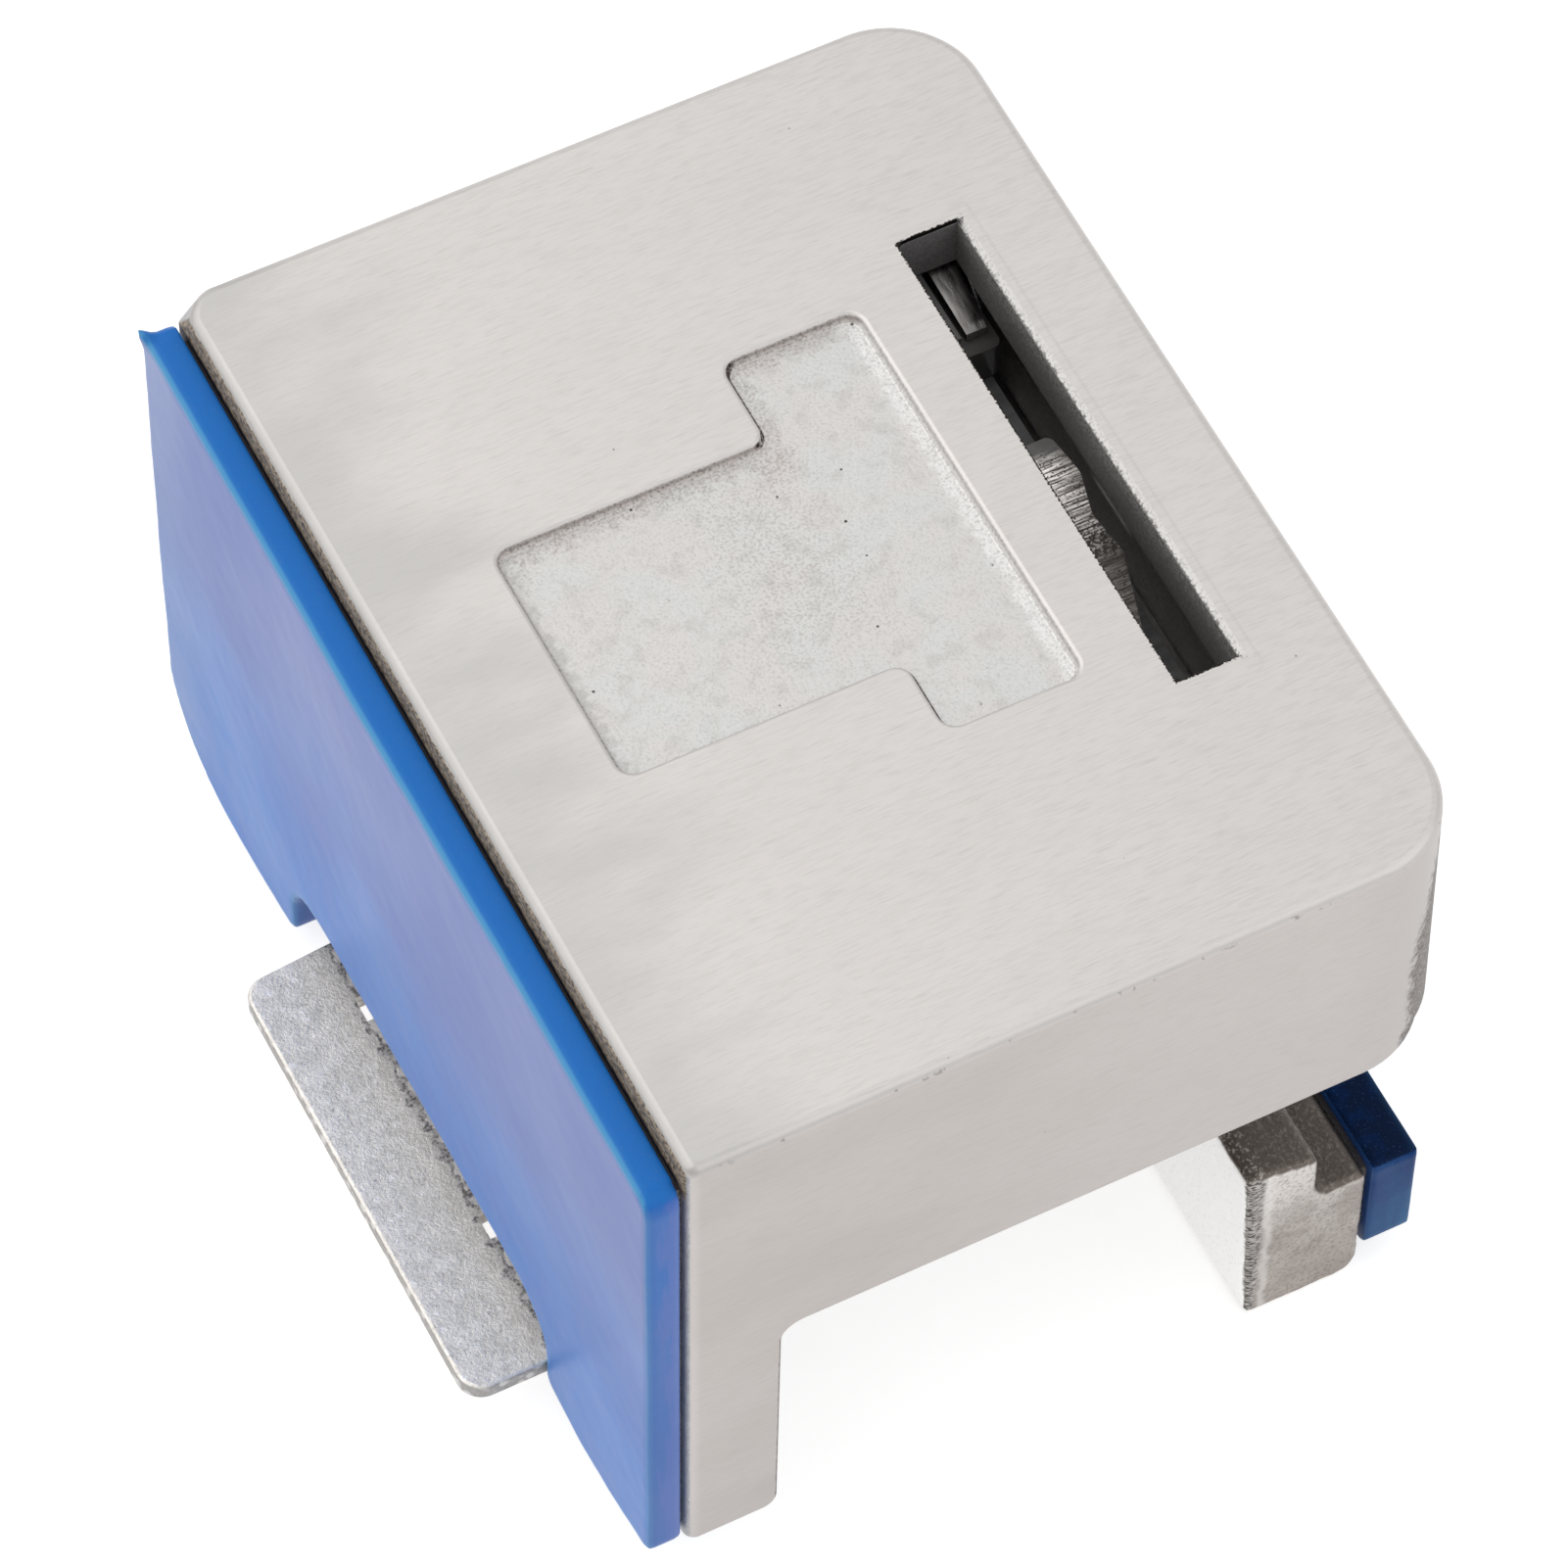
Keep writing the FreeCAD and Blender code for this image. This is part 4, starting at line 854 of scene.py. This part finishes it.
jaw = stand("jaw_casting", nodes["jaw"].data.copy())
work = bmesh.new()
work.from_mesh(jaw.data)
bmesh.ops.remove_doubles(work, verts=work.verts, dist=0.001 * MM)
work.to_mesh(jaw.data)
work.free()
even(jaw, 0.2)
spots = spots_of(jaw.data)
normals = spots_of(jaw.data, "normal")
neck_foot = 14 * MM
grain_size, lump_size = 0.32 * MM, 1.4 * MM
grain_mm, lump_mm, sunk_mm = 0.028, 0.03, 0.04
for i, spot in enumerate(spots):
    if spot[2] > neck_foot:
        continue
    grain, lump = (noise.noise(Vector(spot) / size) for size in (grain_size, lump_size))
    depth = (grain_mm * grain + lump_mm * lump - sunk_mm) * MM
    spot += normals[i] * depth
reshape(jaw.data, spots)

cast = Finish("jaw_cast_skin")
x, _, z = cast.split(cast.spot)
nx, ny, nz = cast.split(cast.facing)
left_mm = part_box("jaw")[0].x / MM
grain = cast.mottle(0.2, 4.0, None, 0.7)
patch = cast.mottle(1.8, 3.0)
chips = cast.mottle(0.16, 3.0, (0.5, 0.5, 1.6), 0.6)
near_end = cast.ramp(ny, -0.5, -0.8)
upper = cast.meet(cast.ramp(z, 7.0, 10.4), cast.ramp(ny, -0.6, -0.8))
# painted shade and a painted highlight: a speckled dark band and a pale line down the near face beside the left edge,
# as on a rounder edge
painted_edge_shade = cast.meet(cast.ramp(x, left_mm + 1.15, left_mm + 0.85), near_end)
wander = cast.stray(x, cast.mottle(1.2, 3.0), 0.12)
painted_edge_highlight = cast.meet(cast.ramp(cast.away(wander, left_mm + 1.3), 0.34, 0.04), near_end, 0.5)
chipped = cast.meet(cast.ramp(nx, -0.12, -0.3), cast.ramp(ny, -0.12, -0.3), cast.ramp(chips, 0.42, 0.52, 0.8, 0.15))
# painted shadow: the jaw's top faces under the housing are painted dark, with paler flecks near the left
painted_shadow = cast.meet(cast.ramp(nz, 0.35, 0.7), cast.ramp(z, 15.0, 14.0))
flecks = cast.meet(cast.ramp(grain, 0.5, 0.64), cast.ramp(x, 12.9, 11.6, 0.15, 1.0))
colour = cast.layers(
    cast.tone(patch, 0.35, 0.65, (0.35, 0.315, 0.292), (0.5, 0.465, 0.44)),
    (cast.ramp(z, 8.0, 2.0, 0.0, 0.6), (0.34, 0.3, 0.272)),
    (upper, (0.64, 0.61, 0.585)),
    (cast.ramp(grain, 0.36, 0.54, 0.5, 0.0), (0.2, 0.175, 0.16)),
    (painted_edge_shade, cast.tone(chips, 0.42, 0.58, (0.1, 0.09, 0.083), (0.5, 0.475, 0.455))),
    (painted_edge_highlight, (0.72, 0.7, 0.68)),
    # painted reflection: the inner side, towards the leg, is painted bright
    (cast.ramp(nx, -0.86, -0.96), cast.tone(grain, 0.3, 0.44, (0.78, 0.765, 0.755), (0.95, 0.94, 0.93))),
    (chipped, (0.045, 0.04, 0.037)),
    (painted_shadow, cast.blend(flecks, (0.12, 0.102, 0.09), (0.55, 0.5, 0.46))))
rough = cast.ramp(grain, 0.3, 0.7, 0.52, 0.38)
shade(jaw, cast.done(Base_Color=colour, Metallic=1.0, Roughness=rough, Normal=cast.relief(grain, 0.045)))
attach(jaw, "jaw_unit")
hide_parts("jaw")

# Jaw screws. Two M2 cap screws stand in counterbores in the jaw's foot and reach up into the
# carriage. Their heads are knurled round the side and have hexagon sockets.

cap = Pattern("cap_screw", {"Middle": "Vector", "Spacing": "Float", "Head radius": "Float", "Head height": "Float",
                            "Shank radius": "Float", "Length": "Float", "Hexagon": "Float", "Knurls": "Int"})
size = cap.size
head = cap.rod(cap.calc("MULTIPLY", size["Knurls"], 2.0), size["Head radius"], size["Head height"])
px, py, pz = cap.spot()
odd = cap.calc("MODULO", cap.add("InputIndex"), 2.0)
knurl_depth, sunk_share = 0.045, 0.02
groove = cap.calc("SUBTRACT", 1.0, cap.calc("MULTIPLY", odd, knurl_depth))
knurled = cap.point(cap.calc("MULTIPLY", px, groove), cap.calc("MULTIPLY", py, groove), pz)
head = cap.add("SetPosition", {0: head, "Position": knurled})
head = cap.raised(head, cap.calc("MULTIPLY", size["Head height"], 0.5))
shank_middle = cap.calc("ADD", size["Head height"], cap.calc("MULTIPLY", size["Length"], 0.5 - sunk_share))
shank = cap.raised(cap.rod(32, size["Shank radius"], size["Length"]), shank_middle)
socket_r = cap.calc("DIVIDE", size["Hexagon"], math.sqrt(3))
socket = cap.rod(6, socket_r, size["Head height"])
cap.close(cap.pair(cap.cut(cap.joined(head, shank), socket)), False)
low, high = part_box("jaw_screws")
head_r = (high.x - low.x) / 2
cap_screws = cap.grow("jaw_cap_screws", {
    "Middle": ((low.x + high.x) / 2, 0, low.z), "Spacing": high.y - low.y - 2 * head_r, "Head radius": head_r,
    "Head height": 2.0 * MM, "Shank radius": 1.0 * MM, "Length": high.z - low.z - 2.0 * MM,
    "Hexagon": 1.5 * MM, "Knurls": 36}, plated_screw)
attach(cap_screws, "jaw_unit")
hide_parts("jaw_screws")

# Moving pad and its film. A narrow strip of the same blue elastomer, painted darker as painted shade
# of the housing over it, is taped to the jaw's outer face and is as long as the jaw.


def strip_plan(low, high, step):
    """Lists the outline of a strip with rounder corners at its foot."""
    foot_r, top_r = 0.8 * MM, 0.3 * MM
    return rounded([(low.y, low.z, foot_r), (high.y, low.z, foot_r),
                    (high.y, high.z, top_r), (low.y, high.z, top_r)], step)


low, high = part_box("moving_pad")
strip_outline = strip_plan(low, high, 0.25 * MM)
moving_pad = plate_mesh("moving_pad_elastomer", strip_outline, low.x, high.x)
even(moving_pad, 0.16)
mould(moving_pad, strip_outline, high.x, low.x, 0.04, 7.7)
# painted shade: the housing overhangs this strip, so its colours are painted dark, darkest on its top and paler
# towards its foot
shaded_elastomer = elastomer(
    "shaded_blue_elastomer", bloom=((0.02, 0.08, 0.28), (0.01, 0.08, 0.32), (0.03, 0.08, 0.26)),
    body=(0.001, 0.035, 0.17), low=(0.05, 0.17, 0.36), top=(0.004, 0.014, 0.05), edge=(0.04, 0.14, 0.3),
    heights=(low.z / MM, high.z / MM - 0.5), rim_highlight_share=0.18, outer_mm=high.x / MM, shine=0.08)
shade(moving_pad, shaded_elastomer)
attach(moving_pad, "jaw_unit")
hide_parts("moving_pad")

low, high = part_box("moving_pad_film")
moving_film = film("moving_pad_tape", strip_plan(low, high, 0.4 * MM), low.x, high.x, 5.0)
shade(moving_film, adhesive_tape)
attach(moving_film, "jaw_unit")
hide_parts("moving_pad_film")

# Studio. A pale floor, a soft even sky, a large lamp from the upper left and behind, a weaker one
# from the near right, and a long lens that looks down on the lock's near left corner.


def background_share(tree):
    """Gives 1 to the rays that see the background and 0 to those that light the lock."""
    rays = put(tree, "ShaderNodeLightPath").outputs
    mirrored = reckon(tree, "MAXIMUM", rays["Is Glossy Ray"], rays["Is Transmission Ray"])
    return reckon(tree, "MAXIMUM", rays["Is Camera Ray"], mirrored)


reach = 3.0
floor_mesh = bpy.data.meshes.new("floor")
floor_mesh.from_pydata([(-reach, -reach, 0), (reach, -reach, 0), (reach, reach, 0), (-reach, reach, 0)], [],
                       [(0, 1, 2, 3)])
floor = stand("floor", floor_mesh)
paper = bpy.data.materials.new("white_paper")
paper.use_nodes = True
tree = paper.node_tree
tree.nodes.clear()
paper_glow = 0.63
matt = put(tree, "ShaderNodeBsdfDiffuse", {"Color": (0.8, 0.8, 0.8)}).outputs[0]
glow = reckon(tree, "MULTIPLY", background_share(tree), paper_glow)
glow = put(tree, "ShaderNodeEmission", {"Color": (1, 1, 1), "Strength": glow}).outputs[0]
lit = put(tree, "ShaderNodeAddShader", {0: matt, 1: glow}).outputs[0]
put(tree, "ShaderNodeOutputMaterial", {"Surface": lit})
floor.data.materials.append(paper)

world = bpy.data.worlds.new("studio")
bpy.context.scene.world = world
world.use_nodes = True
tree = world.node_tree
sky = tree.nodes["Background"]
sky_light = 0.5
sky_strength = reckon(tree, "MULTIPLY", background_share(tree), 1 - sky_light)
sky_strength = reckon(tree, "ADD", sky_strength, sky_light)
feed(tree, sky.inputs["Color"], (1, 1, 1))
feed(tree, sky.inputs["Strength"], sky_strength)


def lamp(name, spot, aim, size, watts, tint):
    """Hangs a square area lamp at a spot, aimed at a point."""
    data = bpy.data.lights.new(name, "AREA")
    data.size = size
    data.energy = watts
    data.color = tint
    made = stand(name, data)
    made.location = spot
    made.rotation_euler = (Vector(aim) - Vector(spot)).to_track_quat("-Z", "Y").to_euler()


middle = (0, 0, 0.017)
lamp("key", (-0.5, 0.45, 0.8), middle, 1.5, 5.5, (1, 0.985, 0.965))
lamp("fill", (0.5, -0.5, 0.6), middle, 1.0, 2.0, (0.97, 0.985, 1))

view = bpy.data.cameras.new("camera")
view.sensor_width = 36.0
view.lens = 201.6
view.clip_start = 0.02
camera = stand("camera", view)
camera.location = (-0.09820, -0.18899, 0.34350)
camera.rotation_euler = (math.radians(33.187), math.radians(-0.520), math.radians(-26.967))
bpy.context.scene.camera = camera
bpy.context.scene.view_settings.view_transform = "Standard"
